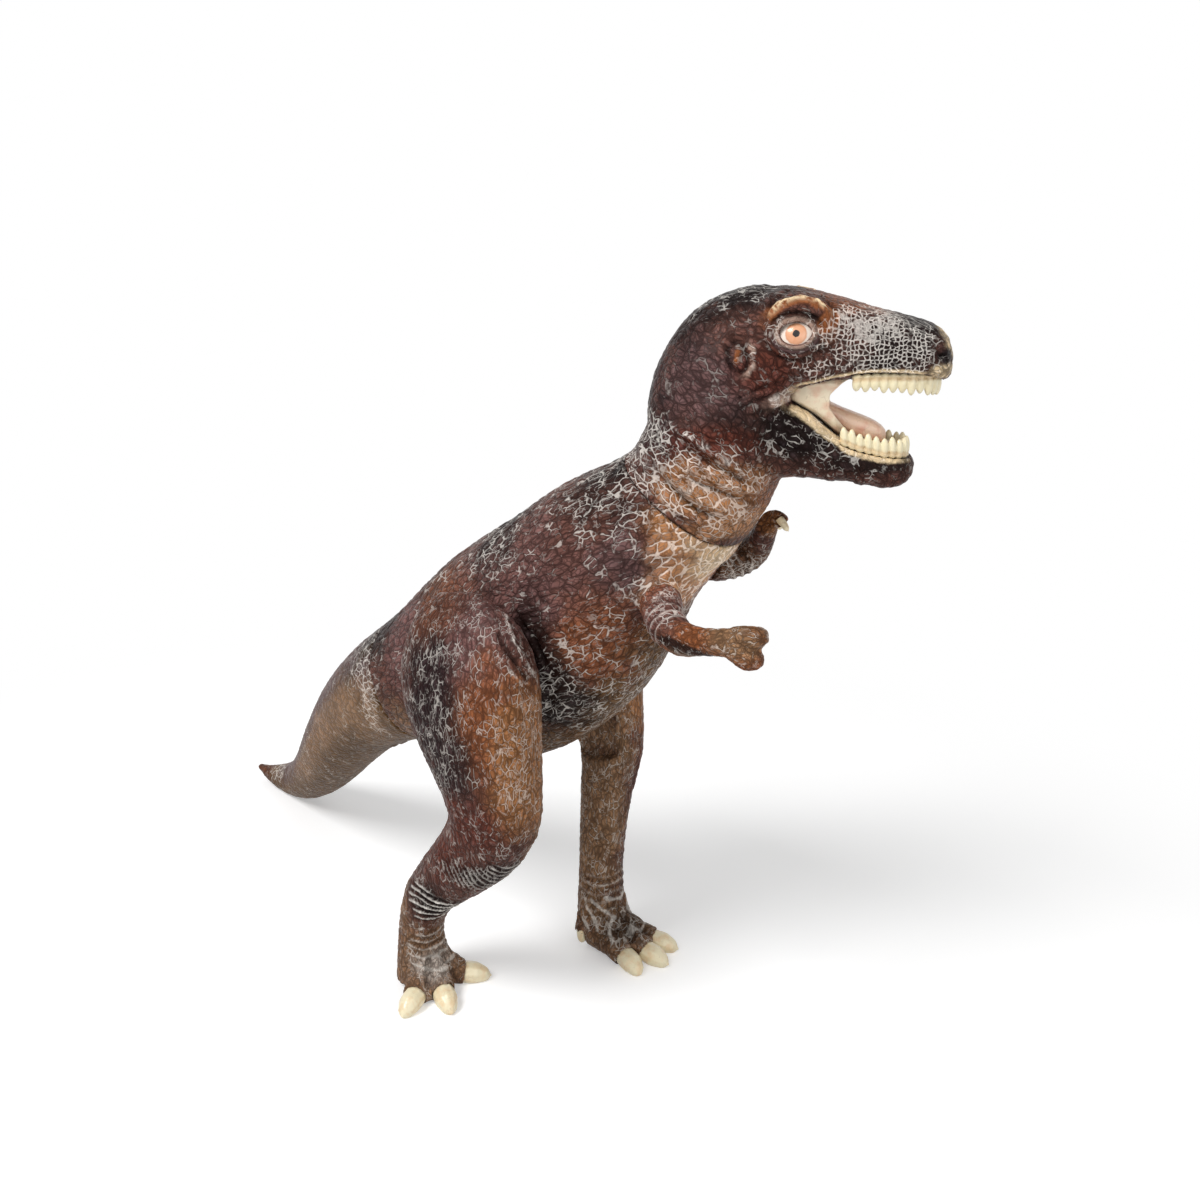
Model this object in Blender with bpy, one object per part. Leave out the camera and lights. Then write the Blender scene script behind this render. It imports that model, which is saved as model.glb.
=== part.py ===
"""Toy theropod dinosaur that stands on its two feet and the underside of its tail.

The figure is a set of hollow soft-vinyl mouldings that swivel on plugs: the
head, the tail, two legs and two arms turn on the torso. The eyes, the mouth
lining, the two rows of teeth, the tongue and the claws are fitted pieces.

Metres, +Z up, the pelvis heading along +X and the animal's left side on +Y.
Rows of section tables are shares of HEAD, the sculptor's measure of length.
"""
from math import cos, pi, radians, sin

import bmesh
import bpy
from mathutils import Matrix, Vector

# Driving sizes
HEAD = 0.100             # the head unit: back of the skull above the ear to the nose tip
WALL = 0.003             # moulded vinyl wall
DISC_WALL = 0.0035       # wall that a plug turns in
GAP = 0.0004             # clearance between two neighbouring pieces
PLUG_CLEARANCE = 0.0004  # clearance round a plug stem and its flange
VOXEL = 0.0017           # grain of the body blank
FINE_VOXEL = 0.0012      # grain of the head, the arms and the feet
NECK_STEM = 0.011        # radius of the plug stem of the head
TAIL_STEM = 0.010
HIP_STEM = 0.009
SHOULDER_STEM = 0.0045
FLANGE_LIP = 0.004       # how far a flange stands out past its stem
FLANGE_THICKNESS = 0.0025
SHOULDER_LIP = 0.0025
STEM_WALL = 0.003
EYE_RADIUS = 0.0088
CHEEK_WALL = 0.0022      # thickness of the mouth lining
GUM_RADIUS = 0.0021
UPPER_TOOTH = 0.0088     # length of an upper tooth
LOWER_TOOTH = 0.0078
TOE_CLAW_RADIUS = 0.0048
TOE_CLAW = 0.0135        # length of a toe claw
SPUR_CLAW_RADIUS = 0.0024
SPUR_CLAW = 0.0052
FINGER_CLAW_RADIUS = 0.0021
FINGER_CLAW = 0.0060
CLAW_ROOT = 0.0025       # depth of the root of a claw in its toe
TOE_RIM = 0.0016         # flesh round the root of a claw
SPUR_RIM = 0.0012
FINGER_RIM = 0.0015
SOLE_CUT = 0.0012        # height of the flat that is taken off under the feet and the tail
THIGH_PLANE = 0.0372     # side face of the torso that a thigh turns against
BORE_REACH = 0.030       # length of the long cutters

# Counts
RING_SIDES = 24
CORE_SIDES = 16
STEM_SIDES = 24
CLAW_SIDES = 10
TOOTH_SIDES = 6
SPLINE_STEPS = 2
UPPER_TEETH = 23
LOWER_TEETH = 18
TORSO_KEEP_SHARE = 0.036
HEAD_KEEP_SHARE = 0.028
TAIL_KEEP_SHARE = 0.030
LEG_KEEP_SHARE = 0.020
ARM_KEEP_SHARE = 0.070

# Angles
HEAD_TURN = radians(28.0)
NECK_RISE = radians(54.0)
NECK_TURN = radians(14.0)

# Trunk from the tip of the tail to the skull: centre x, y, z, half width, half depth
TAIL_SHARES = [
    (-2.735, 0.560, 0.095, 0.016, 0.014),
    (-2.640, 0.565, 0.078, 0.048, 0.040),
    (-2.500, 0.565, 0.082, 0.085, 0.080),
    (-2.330, 0.545, 0.125, 0.115, 0.115),
    (-2.130, 0.490, 0.230, 0.145, 0.145),
    (-1.880, 0.390, 0.425, 0.176, 0.176),
    (-1.600, 0.260, 0.680, 0.205, 0.205),
    (-1.320, 0.150, 0.935, 0.234, 0.234),
    (-1.080, 0.075, 1.125, 0.260, 0.260),
    (-0.880, 0.030, 1.255, 0.285, 0.285),
    (-0.700, 0.005, 1.355, 0.310, 0.310),
]
TRUNK_SHARES = [
    (-0.565, 0.000, 1.415, 0.328, 0.360),
    (-0.410, 0.000, 1.475, 0.348, 0.435),
    (-0.210, 0.000, 1.560, 0.365, 0.490),
    (-0.010, 0.000, 1.695, 0.370, 0.500),
    (0.190, 0.000, 1.860, 0.372, 0.478),
    (0.345, 0.010, 2.035, 0.368, 0.425),
    (0.475, 0.035, 2.185, 0.350, 0.368),
    (0.600, 0.065, 2.300, 0.318, 0.312),
]
NECK_SHARES = [
    (0.715, 0.090, 2.410, 0.286, 0.286),
    (0.785, 0.125, 2.530, 0.285, 0.285),
    (0.825, 0.155, 2.660, 0.280, 0.278),
    (0.845, 0.180, 2.800, 0.270, 0.275),
    (0.880, 0.200, 2.930, 0.230, 0.240),
]
HEAD_CORE_SHARES = [
    (0.715, 0.090, 2.410, 0.256, 0.256),
    (0.780, 0.120, 2.530, 0.250, 0.248),
    (0.790, 0.140, 2.660, 0.240, 0.225),
    (0.770, 0.150, 2.800, 0.225, 0.190),
    (0.770, 0.160, 2.930, 0.205, 0.175),
    (0.790, 0.170, 3.030, 0.150, 0.130),
]
NECK_JOINT_SHARES = (0.715, 0.090, 2.410)
TAIL_JOINT_SHARES = (-0.700, 0.005, 1.355)
TAIL_AXIS_SHARES = (-0.905, 0.090, -0.415)
HIP_SHARES = (0.000, 1.650)
THIGH_CLEARANCE_SHARES = (0.640, 0.800)
HIP_BOSS_SHARES = [(0.300, 0.320), (0.365, 0.300), (0.390, 0.260)]
SHOULDER_SHARES = (0.250, 0.300, 2.060)
SHOULDER_AXIS_SHARES = (0.500, 0.820, -0.250)
SHOULDER_BOSS_SHARE = 0.095
SHOULDER_SEAT_SHARE = 0.125

# Head, on its own axes: forward, top, bottom, half width
HEAD_ORIGIN_SHARES = (0.790, 0.180, 2.620)
SKULL_SHARES = [
    (-0.265, 0.190, 0.030, 0.060),
    (-0.240, 0.300, -0.080, 0.150),
    (-0.180, 0.425, -0.140, 0.210),
    (-0.095, 0.530, -0.180, 0.250),
    (0.015, 0.598, -0.180, 0.275),
    (0.130, 0.630, -0.150, 0.280),
    (0.210, 0.630, -0.100, 0.265),
    (0.260, 0.600, 0.050, 0.220),
]
MUZZLE_SHARES = [
    (0.060, 0.520, 0.150, 0.200),
    (0.190, 0.620, 0.190, 0.250),
    (0.320, 0.620, 0.235, 0.245),
    (0.460, 0.590, 0.275, 0.215),
    (0.610, 0.548, 0.290, 0.185),
    (0.740, 0.518, 0.290, 0.168),
    (0.820, 0.495, 0.285, 0.148),
    (0.875, 0.450, 0.285, 0.115),
    (0.896, 0.390, 0.305, 0.060),
]
JAW_SHARES = [
    (0.000, 0.150, -0.160, 0.235),
    (0.150, 0.200, -0.130, 0.232),
    (0.260, 0.228, -0.105, 0.224),
    (0.340, 0.204, -0.100, 0.214),
    (0.390, 0.170, -0.103, 0.204),
    (0.440, 0.120, -0.110, 0.192),
    (0.500, 0.072, -0.113, 0.176),
    (0.560, 0.038, -0.115, 0.162),
    (0.660, 0.010, -0.140, 0.142),
    (0.730, 0.000, -0.132, 0.115),
    (0.770, -0.012, -0.100, 0.075),
    (0.785, -0.035, -0.070, 0.030),
]
BROW_SHARES = [
    (0.190, 0.225, 0.490, 0.028),
    (0.250, 0.235, 0.545, 0.036),
    (0.330, 0.220, 0.560, 0.040),
    (0.410, 0.200, 0.520, 0.034),
    (0.450, 0.190, 0.460, 0.022),
]
EYE_SHARES = (0.300, 0.182, 0.450)
# Mouth hollow: forward, top, bottom, half width
MOUTH_SHARES = [
    (0.275, 0.250, 0.205, 0.120),
    (0.310, 0.285, 0.192, 0.165),
    (0.390, 0.315, 0.142, 0.168),
    (0.465, 0.325, 0.078, 0.150),
    (0.500, 0.328, 0.050, 0.114),
    (0.620, 0.325, 0.010, 0.090),
    (0.690, 0.320, -0.004, 0.054),
]
MOUTH_BITE_SHARES = [
    (0.440, 0.235, 0.185, 0.300),
    (0.465, 0.262, 0.150, 0.300),
    (0.500, 0.285, 0.105, 0.300),
    (0.545, 0.297, 0.068, 0.300),
    (0.650, 0.298, 0.036, 0.300),
    (0.780, 0.292, 0.024, 0.300),
]
TONGUE_SHARES = [
    (0.400, 0.205, 0.166, 0.040),
    (0.430, 0.195, 0.140, 0.065),
    (0.480, 0.172, 0.096, 0.068),
    (0.540, 0.150, 0.064, 0.064),
    (0.610, 0.124, 0.043, 0.056),
    (0.650, 0.100, 0.036, 0.042),
    (0.668, 0.078, 0.036, 0.020),
]
# Gum lines from the rear to the middle of the front: forward, side, up
UPPER_GUM_SHARES = [
    (0.525, 0.157, 0.298),
    (0.620, 0.140, 0.302),
    (0.740, 0.120, 0.302),
    (0.808, 0.092, 0.302),
    (0.842, 0.048, 0.302),
    (0.850, 0.000, 0.302),
]
LOWER_GUM_SHARES = [
    (0.490, 0.152, 0.064),
    (0.560, 0.135, 0.036),
    (0.657, 0.109, 0.010),
    (0.715, 0.078, 0.002),
    (0.744, 0.040, -0.002),
    (0.750, 0.000, -0.002),
]

# Legs: centre x, y, z, half depth, half thickness
RIGHT_LEG_SHARES = [
    (-0.040, -0.440, 2.010, 0.110, 0.040),
    (-0.020, -0.470, 1.910, 0.245, 0.115),
    (0.020, -0.485, 1.760, 0.325, 0.165),
    (0.050, -0.490, 1.580, 0.330, 0.195),
    (0.100, -0.490, 1.380, 0.275, 0.195),
    (0.145, -0.480, 1.180, 0.218, 0.185),
    (0.140, -0.475, 1.020, 0.195, 0.172),
    (0.040, -0.465, 0.860, 0.175, 0.155),
    (-0.120, -0.455, 0.690, 0.145, 0.138),
    (-0.270, -0.450, 0.530, 0.116, 0.116),
    (-0.345, -0.445, 0.360, 0.098, 0.102),
    (-0.362, -0.438, 0.210, 0.105, 0.112),
    (-0.345, -0.430, 0.060, 0.135, 0.140),
]
LEFT_LEG_SHARES = [
    (-0.040, 0.440, 2.010, 0.110, 0.040),
    (-0.020, 0.470, 1.910, 0.235, 0.115),
    (0.000, 0.485, 1.760, 0.300, 0.165),
    (-0.020, 0.490, 1.580, 0.275, 0.190),
    (0.000, 0.490, 1.380, 0.210, 0.185),
    (0.050, 0.485, 1.180, 0.170, 0.164),
    (0.088, 0.470, 1.000, 0.145, 0.146),
    (0.082, 0.440, 0.820, 0.122, 0.130),
    (0.082, 0.405, 0.620, 0.108, 0.116),
    (0.088, 0.380, 0.420, 0.102, 0.108),
    (0.100, 0.360, 0.260, 0.106, 0.115),
    (0.130, 0.350, 0.120, 0.130, 0.138),
]
# Toes from the instep to the end of the flesh: x, y, z, radius; then the heading of the claw
RIGHT_TOES = {
    "outer": ([(-0.310, -0.460, 0.120, 0.090), (-0.285, -0.540, 0.070, 0.072), (-0.262, -0.600, 0.056, 0.064)],
              (0.260, -0.965, -0.120)),
    "middle": ([(-0.290, -0.440, 0.120, 0.090), (-0.215, -0.480, 0.070, 0.068), (-0.170, -0.505, 0.056, 0.062)],
               (0.868, -0.496, -0.120)),
    "inner": ([(-0.310, -0.410, 0.120, 0.090), (-0.240, -0.350, 0.070, 0.068), (-0.205, -0.318, 0.056, 0.062)],
              (0.730, 0.680, -0.120)),
}
LEFT_TOES = {
    "inner": ([(0.150, 0.305, 0.115, 0.118), (0.262, 0.262, 0.085, 0.078), (0.345, 0.230, 0.058, 0.064)],
              (0.940, -0.340, -0.120)),
    "middle": ([(0.160, 0.345, 0.120, 0.105), (0.310, 0.332, 0.080, 0.070), (0.400, 0.328, 0.058, 0.064)],
               (0.999, 0.030, -0.120)),
    "outer": ([(0.150, 0.360, 0.120, 0.105), (0.290, 0.405, 0.080, 0.070), (0.372, 0.432, 0.058, 0.064)],
              (0.940, 0.330, -0.120)),
}
RIGHT_SPUR = ([(-0.340, -0.400, 0.330, 0.050), (-0.385, -0.345, 0.270, 0.038), (-0.395, -0.325, 0.235, 0.036)],
              (-0.300, 0.350, -0.890))
LEFT_SPUR = ([(0.090, 0.290, 0.270, 0.050), (0.085, 0.232, 0.160, 0.040), (0.090, 0.212, 0.105, 0.036)],
             (0.100, -0.060, -0.990))

# Arms: centre x, y, z, half width, half depth
RIGHT_ARM_SHARES = [
    (0.745, -0.150, 2.080, 0.086, 0.086),
    (0.825, -0.235, 2.050, 0.084, 0.088),
    (0.905, -0.315, 2.018, 0.074, 0.080),
    (1.010, -0.385, 2.010, 0.062, 0.070),
    (1.130, -0.425, 2.035, 0.050, 0.054),
    (1.235, -0.438, 2.058, 0.052, 0.054),
    (1.290, -0.440, 2.068, 0.054, 0.060),
]
LEFT_ARM_SHARES = [
    (0.600, 0.330, 2.080, 0.086, 0.086),
    (0.685, 0.425, 2.062, 0.084, 0.088),
    (0.760, 0.475, 2.080, 0.076, 0.080),
    (0.830, 0.470, 2.130, 0.068, 0.072),
    (0.890, 0.430, 2.205, 0.056, 0.056),
    (0.945, 0.380, 2.285, 0.046, 0.046),
]
RIGHT_FINGERS = {
    "upper": ([(1.265, -0.440, 2.087, 0.044), (1.342, -0.437, 2.098, 0.044), (1.348, -0.388, 2.092, 0.039)],
              (-0.060, 0.970, -0.150)),
    "lower": ([(1.255, -0.440, 2.050, 0.046), (1.328, -0.440, 2.014, 0.047), (1.334, -0.392, 2.006, 0.040)],
              (-0.060, 0.970, -0.120)),
}
LEFT_FINGERS = {
    "upper": ([(0.938, 0.375, 2.290, 0.042), (0.982, 0.365, 2.314, 0.038), (1.022, 0.355, 2.298, 0.034)],
              (0.760, -0.100, -0.640)),
    "lower": ([(0.930, 0.380, 2.275, 0.042), (0.948, 0.402, 2.288, 0.038), (0.962, 0.420, 2.268, 0.034)],
              (0.100, 0.900, -0.400)),
}

# Teeth and claws: share of the length, share of the radius, and for a claw the droop
TOOTH_PROFILE_SHARES = [(0.65, 0.90), (1.00, 0.40)]
TOOTH_DEPTH_SHARE = 0.80
TOOTH_FILL_SHARE = 0.47   # radius of a tooth as a share of the distance to the next one
REAR_TOOTH_SHARE = 0.75
CLAW_PROFILE_SHARES = [(0.00, 1.00, 0.00), (0.45, 0.82, 0.03), (0.80, 0.50, 0.09), (1.00, 0.16, 0.14)]

# Shape of the ovals: 2 is an ellipse, more is squarer
ROUND_SHARE = 2.0
TRUNK_SHARE = 2.2
THIGH_SHARE = 2.5
TONGUE_SQUARE_SHARE = 2.5
MUZZLE_SQUARE_SHARE = 3.3
MOUTH_SQUARE_SHARE = 4.0


def sized(shares):
    """Turn shares of the head unit into lengths."""
    return tuple(HEAD * share for share in shares)


def fresh_scene():
    """Take every object out of the scene."""
    for old in list(bpy.data.objects):
        bpy.data.objects.remove(old, do_unlink=True)


def finish(name, colour, roughness, metallic=0.0):
    """Make one paint or plastic finish."""
    material = bpy.data.materials.new(name)
    material.use_nodes = True
    shader = material.node_tree.nodes["Principled BSDF"]
    shader.inputs["Base Color"].default_value = (*colour, 1.0)
    shader.inputs["Roughness"].default_value = roughness
    shader.inputs["Metallic"].default_value = metallic
    return material


def placed(name, mesh):
    """Put a mesh in the scene as an object."""
    piece = bpy.data.objects.new(name, mesh)
    bpy.context.scene.collection.objects.link(piece)
    return piece


def smooth_rows(rows, steps):
    """Run a soft curve through the rows of a table."""
    rows = [Vector(row) for row in rows]
    ends = [rows[0] * 2 - rows[1]] + rows + [rows[-1] * 2 - rows[-2]]
    result = []
    for before, start, stop, after in zip(ends, ends[1:], ends[2:], ends[3:]):
        for step in range(steps):
            t = step / steps
            curve = start * 2 + (stop - before) * t
            curve += (before * 2 - start * 5 + stop * 4 - after) * t * t
            curve += (start * 3 - before - stop * 3 + after) * t * t * t
            result.append(curve / 2)
    return result + [rows[-1]]


def oval(angle, half, square):
    """One coordinate of a squared oval."""
    return half * abs(angle) ** (2.0 / square) * (1 if angle >= 0 else -1)


def tube(centres, halves, side, sides, square):
    """Closed tube of oval rings across a line of centres."""
    bm = bmesh.new()
    rings = []
    last = len(centres) - 1
    for index, (centre, (wide, deep)) in enumerate(zip(centres, halves)):
        along = (centres[min(index + 1, last)] - centres[max(index - 1, 0)]).normalized()
        across = (side - along * side.dot(along)).normalized()
        over = along.cross(across)
        ring = []
        for step in range(sides):
            angle = 2 * pi * step / sides
            ring.append(bm.verts.new(centre + across * oval(cos(angle), wide, square)
                                     + over * oval(sin(angle), deep, square)))
        rings.append(ring)
    for low, high in zip(rings, rings[1:]):
        for step in range(sides):
            after = (step + 1) % sides
            bm.faces.new((low[step], low[after], high[after], high[step]))
    bm.faces.new(rings[0])
    bm.faces.new(rings[-1])
    bmesh.ops.recalc_face_normals(bm, faces=bm.faces)
    mesh = bpy.data.meshes.new("tube")
    bm.to_mesh(mesh)
    bm.free()
    return placed("tube", mesh)


def limb(shares, less=0.0, sides=RING_SIDES, square=ROUND_SHARE, steps=SPLINE_STEPS):
    """Tube from a table of centre, half width and half depth."""
    rows = smooth_rows([sized(row) for row in shares], steps)
    halves = [(row[3] - less, row[4] - less) for row in rows]
    return tube([Vector(row[:3]) for row in rows], halves, Vector((0, 1, 0)), sides, square)


def leg_limb(shares, less=0.0, sides=RING_SIDES, steps=SPLINE_STEPS):
    """Tube of a leg, whose table gives the half depth before the half thickness."""
    turned = [(x, y, z, thick, deep) for x, y, z, deep, thick in shares]
    return limb(turned, less=less, sides=sides, square=THIGH_SHARE, steps=steps)


def finger(shares, end, more=0.0):
    """Round tube from a table of centre and radius, for toes and fingers, with its end radius."""
    rows = [sized(row) for row in shares]
    rows[-1] = (*rows[-1][:3], end)
    rows = smooth_rows(rows, SPLINE_STEPS)
    halves = [(row[3] + more, row[3] + more) for row in rows]
    return tube([Vector(row[:3]) for row in rows], halves, Vector((0, 0, 1)), CORE_SIDES, ROUND_SHARE)


def head_place():
    """Place of the head's own axes: forward, left, up."""
    return Matrix.Translation(sized(HEAD_ORIGIN_SHARES)) @ Matrix.Rotation(HEAD_TURN, 4, "Z")


def head_tube(shares, square, less=0.0, first=0.0, last=0.0, sides=RING_SIDES):
    """Tube along the head from a table of forward, top, bottom and half width."""
    rows = smooth_rows([sized(row) for row in shares], SPLINE_STEPS)
    rows[0][0] += first
    rows[-1][0] += last
    centres = [Vector((row[0], 0.0, (row[1] + row[2]) / 2)) for row in rows]
    halves = [(row[3] - less, (row[1] - row[2]) / 2 - less) for row in rows]
    bm = bmesh.new()
    rings = []
    for centre, (wide, tall) in zip(centres, halves):
        ring = []
        for step in range(sides):
            angle = 2 * pi * step / sides
            ring.append(bm.verts.new(centre + Vector((0.0, oval(cos(angle), wide, square),
                                                      oval(sin(angle), tall, square)))))
        rings.append(ring)
    for low, high in zip(rings, rings[1:]):
        for step in range(sides):
            after = (step + 1) % sides
            bm.faces.new((low[step], low[after], high[after], high[step]))
    bm.faces.new(rings[0])
    bm.faces.new(rings[-1])
    bmesh.ops.recalc_face_normals(bm, faces=bm.faces)
    bm.transform(head_place())
    mesh = bpy.data.meshes.new("head tube")
    bm.to_mesh(mesh)
    bm.free()
    return placed("tube", mesh)


def rod(start, along, radius, length, sides=STEM_SIDES):
    """Straight round bar from a start point."""
    bm = bmesh.new()
    bmesh.ops.create_cone(bm, cap_ends=True, segments=sides, radius1=radius, radius2=radius, depth=length)
    turn = Vector((0, 0, 1)).rotation_difference(along).to_matrix().to_4x4()
    bm.transform(Matrix.Translation(start + along * length / 2) @ turn)
    mesh = bpy.data.meshes.new("rod")
    bm.to_mesh(mesh)
    bm.free()
    return placed("rod", mesh)


def ball(centre, radius, rings, sides):
    """Round ball whose poles lie on the side axis of the head."""
    bm = bmesh.new()
    bmesh.ops.create_uvsphere(bm, u_segments=sides, v_segments=rings, radius=radius)
    bm.transform(Matrix.Translation(centre) @ Matrix.Rotation(HEAD_TURN, 4, "Z") @ Matrix.Rotation(pi / 2, 4, "X"))
    mesh = bpy.data.meshes.new("ball")
    bm.to_mesh(mesh)
    bm.free()
    return placed("ball", mesh)


def joined(pieces):
    """Put several closed bodies in one object."""
    bm = bmesh.new()
    for piece in pieces:
        bm.from_mesh(piece.data)
        bpy.data.objects.remove(piece, do_unlink=True)
    mesh = bpy.data.meshes.new("blank")
    bm.to_mesh(mesh)
    bm.free()
    return placed("blank", mesh)


def baked(piece):
    """Write the result of the modifiers into the mesh."""
    depsgraph = bpy.context.evaluated_depsgraph_get()
    mesh = bpy.data.meshes.new_from_object(piece.evaluated_get(depsgraph))
    piece.modifiers.clear()
    piece.data = mesh
    return piece


def moulded(pieces, grain, soften, keep):
    """Melt overlapping bodies into one skin with soft creases, then thin out its faces."""
    blank = joined(pieces)
    melt = blank.modifiers.new("melt", "REMESH")
    melt.mode = "VOXEL"
    melt.voxel_size = grain
    relax = blank.modifiers.new("relax", "SMOOTH")
    relax.factor = 0.5
    relax.iterations = soften
    thin = blank.modifiers.new("thin", "DECIMATE")
    thin.ratio = keep
    return baked(blank)


def carve(piece, cutters):
    """Take cutters out of a piece."""
    return combine(piece, cutters, "DIFFERENCE")


def weld(piece, additions):
    """Add overlapping bodies to a piece."""
    return combine(piece, additions, "UNION")


def combine(piece, others, operation):
    """Cut or add several bodies, one after the other."""
    for other in others:
        step = piece.modifiers.new("step", "BOOLEAN")
        step.object = other
        step.operation = operation
        step.solver = "EXACT"
        baked(piece)
        bpy.data.objects.remove(other, do_unlink=True)
    return piece


def sliced(piece, point, outward):
    """Cut a closed piece flat and drop what lies beyond the plane."""
    bm = bmesh.new()
    bm.from_mesh(piece.data)
    every = bm.verts[:] + bm.edges[:] + bm.faces[:]
    cut = bmesh.ops.bisect_plane(bm, geom=every, plane_co=point, plane_no=outward, clear_outer=True)
    rim = [part for part in cut["geom_cut"] if isinstance(part, bmesh.types.BMEdge)]
    bmesh.ops.holes_fill(bm, edges=rim, sides=0)
    bmesh.ops.recalc_face_normals(bm, faces=bm.faces)
    bm.to_mesh(piece.data)
    bm.free()
    return piece


def neck_axis():
    """Direction of the neck swivel, out of the torso."""
    flat = cos(NECK_RISE)
    return Vector((flat * cos(NECK_TURN), flat * sin(NECK_TURN), sin(NECK_RISE)))


def tail_axis():
    """Direction of the tail swivel, out of the torso."""
    return Vector(TAIL_AXIS_SHARES).normalized()


def hip_point(hand):
    """Centre of a hip on the flank: hand is -1 on the right and 1 on the left."""
    x, z = sized(HIP_SHARES)
    return Vector((x, hand * THIGH_PLANE, z))


def shoulder_axis(hand):
    """Direction of a shoulder swivel, out of the torso."""
    turned = Vector(SHOULDER_AXIS_SHARES)
    turned.y *= hand
    return (Matrix.Rotation(NECK_TURN, 3, "Z") @ turned).normalized()


def shoulder_point(hand):
    """Centre of a shoulder seat; the chest is turned with the neck."""
    forward, aside, height = sized(SHOULDER_SHARES)
    chest = sized(TRUNK_SHARES[-2][:2])
    offset = Matrix.Rotation(NECK_TURN, 3, "Z") @ Vector((forward, hand * aside, 0.0))
    return Vector((chest[0] + offset.x, chest[1] + offset.y, height))


def hip_boss(hand):
    """Round pad that fills the flank behind a thigh."""
    x, z = sized(HIP_SHARES)
    pads = [(x, hand * HEAD * out, z, HEAD * radius) for out, radius in HIP_BOSS_SHARES]
    start = (x, 0.0, z, pads[0][3])
    rows = [start] + pads
    halves = [(row[3], row[3]) for row in rows]
    return tube([Vector(row[:3]) for row in rows], halves, Vector((1, 0, 0)), RING_SIDES, ROUND_SHARE)


def shoulder_boss(hand):
    """Round mound of the shoulder."""
    radius = HEAD * SHOULDER_BOSS_SHARE
    return ball(shoulder_point(hand) - shoulder_axis(hand) * radius / 2, radius, CLAW_SIDES, CORE_SIDES)


def trunk_blank(keep):
    """Skin of the tail, the torso and the neck before it is parted."""
    trunk = limb(TAIL_SHARES + TRUNK_SHARES + NECK_SHARES, square=TRUNK_SHARE)
    bosses = [make(hand) for make in (hip_boss, shoulder_boss) for hand in (-1, 1)]
    return moulded([trunk] + bosses, VOXEL, 3, keep)


def brow(hand):
    """Ridge over an eye."""
    rows = [sized(row) for row in BROW_SHARES]
    centres = [head_place() @ Vector((row[0], hand * row[1], row[2])) for row in rows]
    halves = [(row[3], row[3]) for row in rows]
    return tube(centres, halves, Vector((0, 0, 1)), CLAW_SIDES, ROUND_SHARE)


def plug(root, along, stem, lip, reach):
    """Stem and flange that hold a limb in the torso; along points out of the torso."""
    depth = DISC_WALL + 2 * PLUG_CLEARANCE
    shaft = rod(root + along * reach, -along, stem, reach + depth + FLANGE_THICKNESS / 2)
    flange = rod(root - along * depth, -along, stem + lip, FLANGE_THICKNESS)
    return [shaft, flange]


def hole(root, along, stem):
    """Cutter for the round hole that a plug turns in."""
    return rod(root + along * BORE_REACH / 4, -along, stem + PLUG_CLEARANCE, BORE_REACH)


def pocket(root, along, stem, lip, reach):
    """Cutter for the flat inner face that a flange bears on."""
    return rod(root - along * DISC_WALL, -along, stem + lip + PLUG_CLEARANCE * 2, reach)


def bore(root, along, stem, reach):
    """Cutter that opens a hollow limb through its plug."""
    return rod(root + along * reach, -along, stem - STEM_WALL, reach + BORE_REACH)


def torso_shell():
    """Hollow torso with five round seats."""
    torso = trunk_blank(TORSO_KEEP_SHARE)
    neck, tail = Vector(sized(NECK_JOINT_SHARES)), Vector(sized(TAIL_JOINT_SHARES))
    sliced(torso, neck, neck_axis())
    sliced(torso, tail, tail_axis())
    for hand in (-1, 1):
        sliced(torso, Vector((0.0, hand * THIGH_PLANE, 0.0)), Vector((0.0, hand, 0.0)))
        seat_cut = rod(shoulder_point(hand), shoulder_axis(hand), HEAD * SHOULDER_SEAT_SHARE, BORE_REACH)
        carve(torso, [seat_cut])
    core = limb(TAIL_SHARES[-2:] + TRUNK_SHARES + NECK_SHARES[:2], less=WALL, sides=CORE_SIDES,
                square=TRUNK_SHARE, steps=1)
    sliced(core, neck - neck_axis() * DISC_WALL, neck_axis())
    sliced(core, tail - tail_axis() * DISC_WALL, tail_axis())
    carve(torso, [core])
    carve(torso, [hole(neck, neck_axis(), NECK_STEM), hole(tail, tail_axis(), TAIL_STEM)])
    for hand in (-1, 1):
        hip, out = hip_point(hand), Vector((0.0, hand, 0.0))
        carve(torso, [pocket(hip, out, HIP_STEM, FLANGE_LIP, FLANGE_THICKNESS * 3), hole(hip, out, HIP_STEM)])
        shoulder, out = shoulder_point(hand), shoulder_axis(hand)
        carve(torso, [pocket(shoulder, out, SHOULDER_STEM, SHOULDER_LIP, BORE_REACH / 2),
                      hole(shoulder, out, SHOULDER_STEM)])
    return torso


def tail_shell():
    """Hollow tail with its plug and the flat that rests on the floor."""
    root, along = Vector(sized(TAIL_JOINT_SHARES)), tail_axis()
    tail = trunk_blank(TAIL_KEEP_SHARE)
    sliced(tail, root + along * GAP, -along)
    sliced(tail, Vector((0.0, 0.0, SOLE_CUT)), Vector((0.0, 0.0, -1.0)))
    core = limb(TAIL_SHARES[3:], less=WALL, sides=CORE_SIDES, steps=1)
    sliced(core, root + along * DISC_WALL, -along)
    carve(tail, [core])
    weld(tail, plug(root, along, TAIL_STEM, FLANGE_LIP, WALL))
    return carve(tail, [bore(root, along, TAIL_STEM, WALL * 2)])


def head_blank():
    """Skin of the neck, the skull and the two jaws."""
    bodies = [limb(TRUNK_SHARES[-3:] + NECK_SHARES, square=TRUNK_SHARE)]
    bodies.append(head_tube(SKULL_SHARES, ROUND_SHARE))
    bodies.append(head_tube(MUZZLE_SHARES, MUZZLE_SQUARE_SHARE))
    bodies.append(head_tube(JAW_SHARES, MUZZLE_SQUARE_SHARE))
    bodies += [brow(-1), brow(1)]
    return moulded(bodies, FINE_VOXEL, 3, HEAD_KEEP_SHARE)


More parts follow.
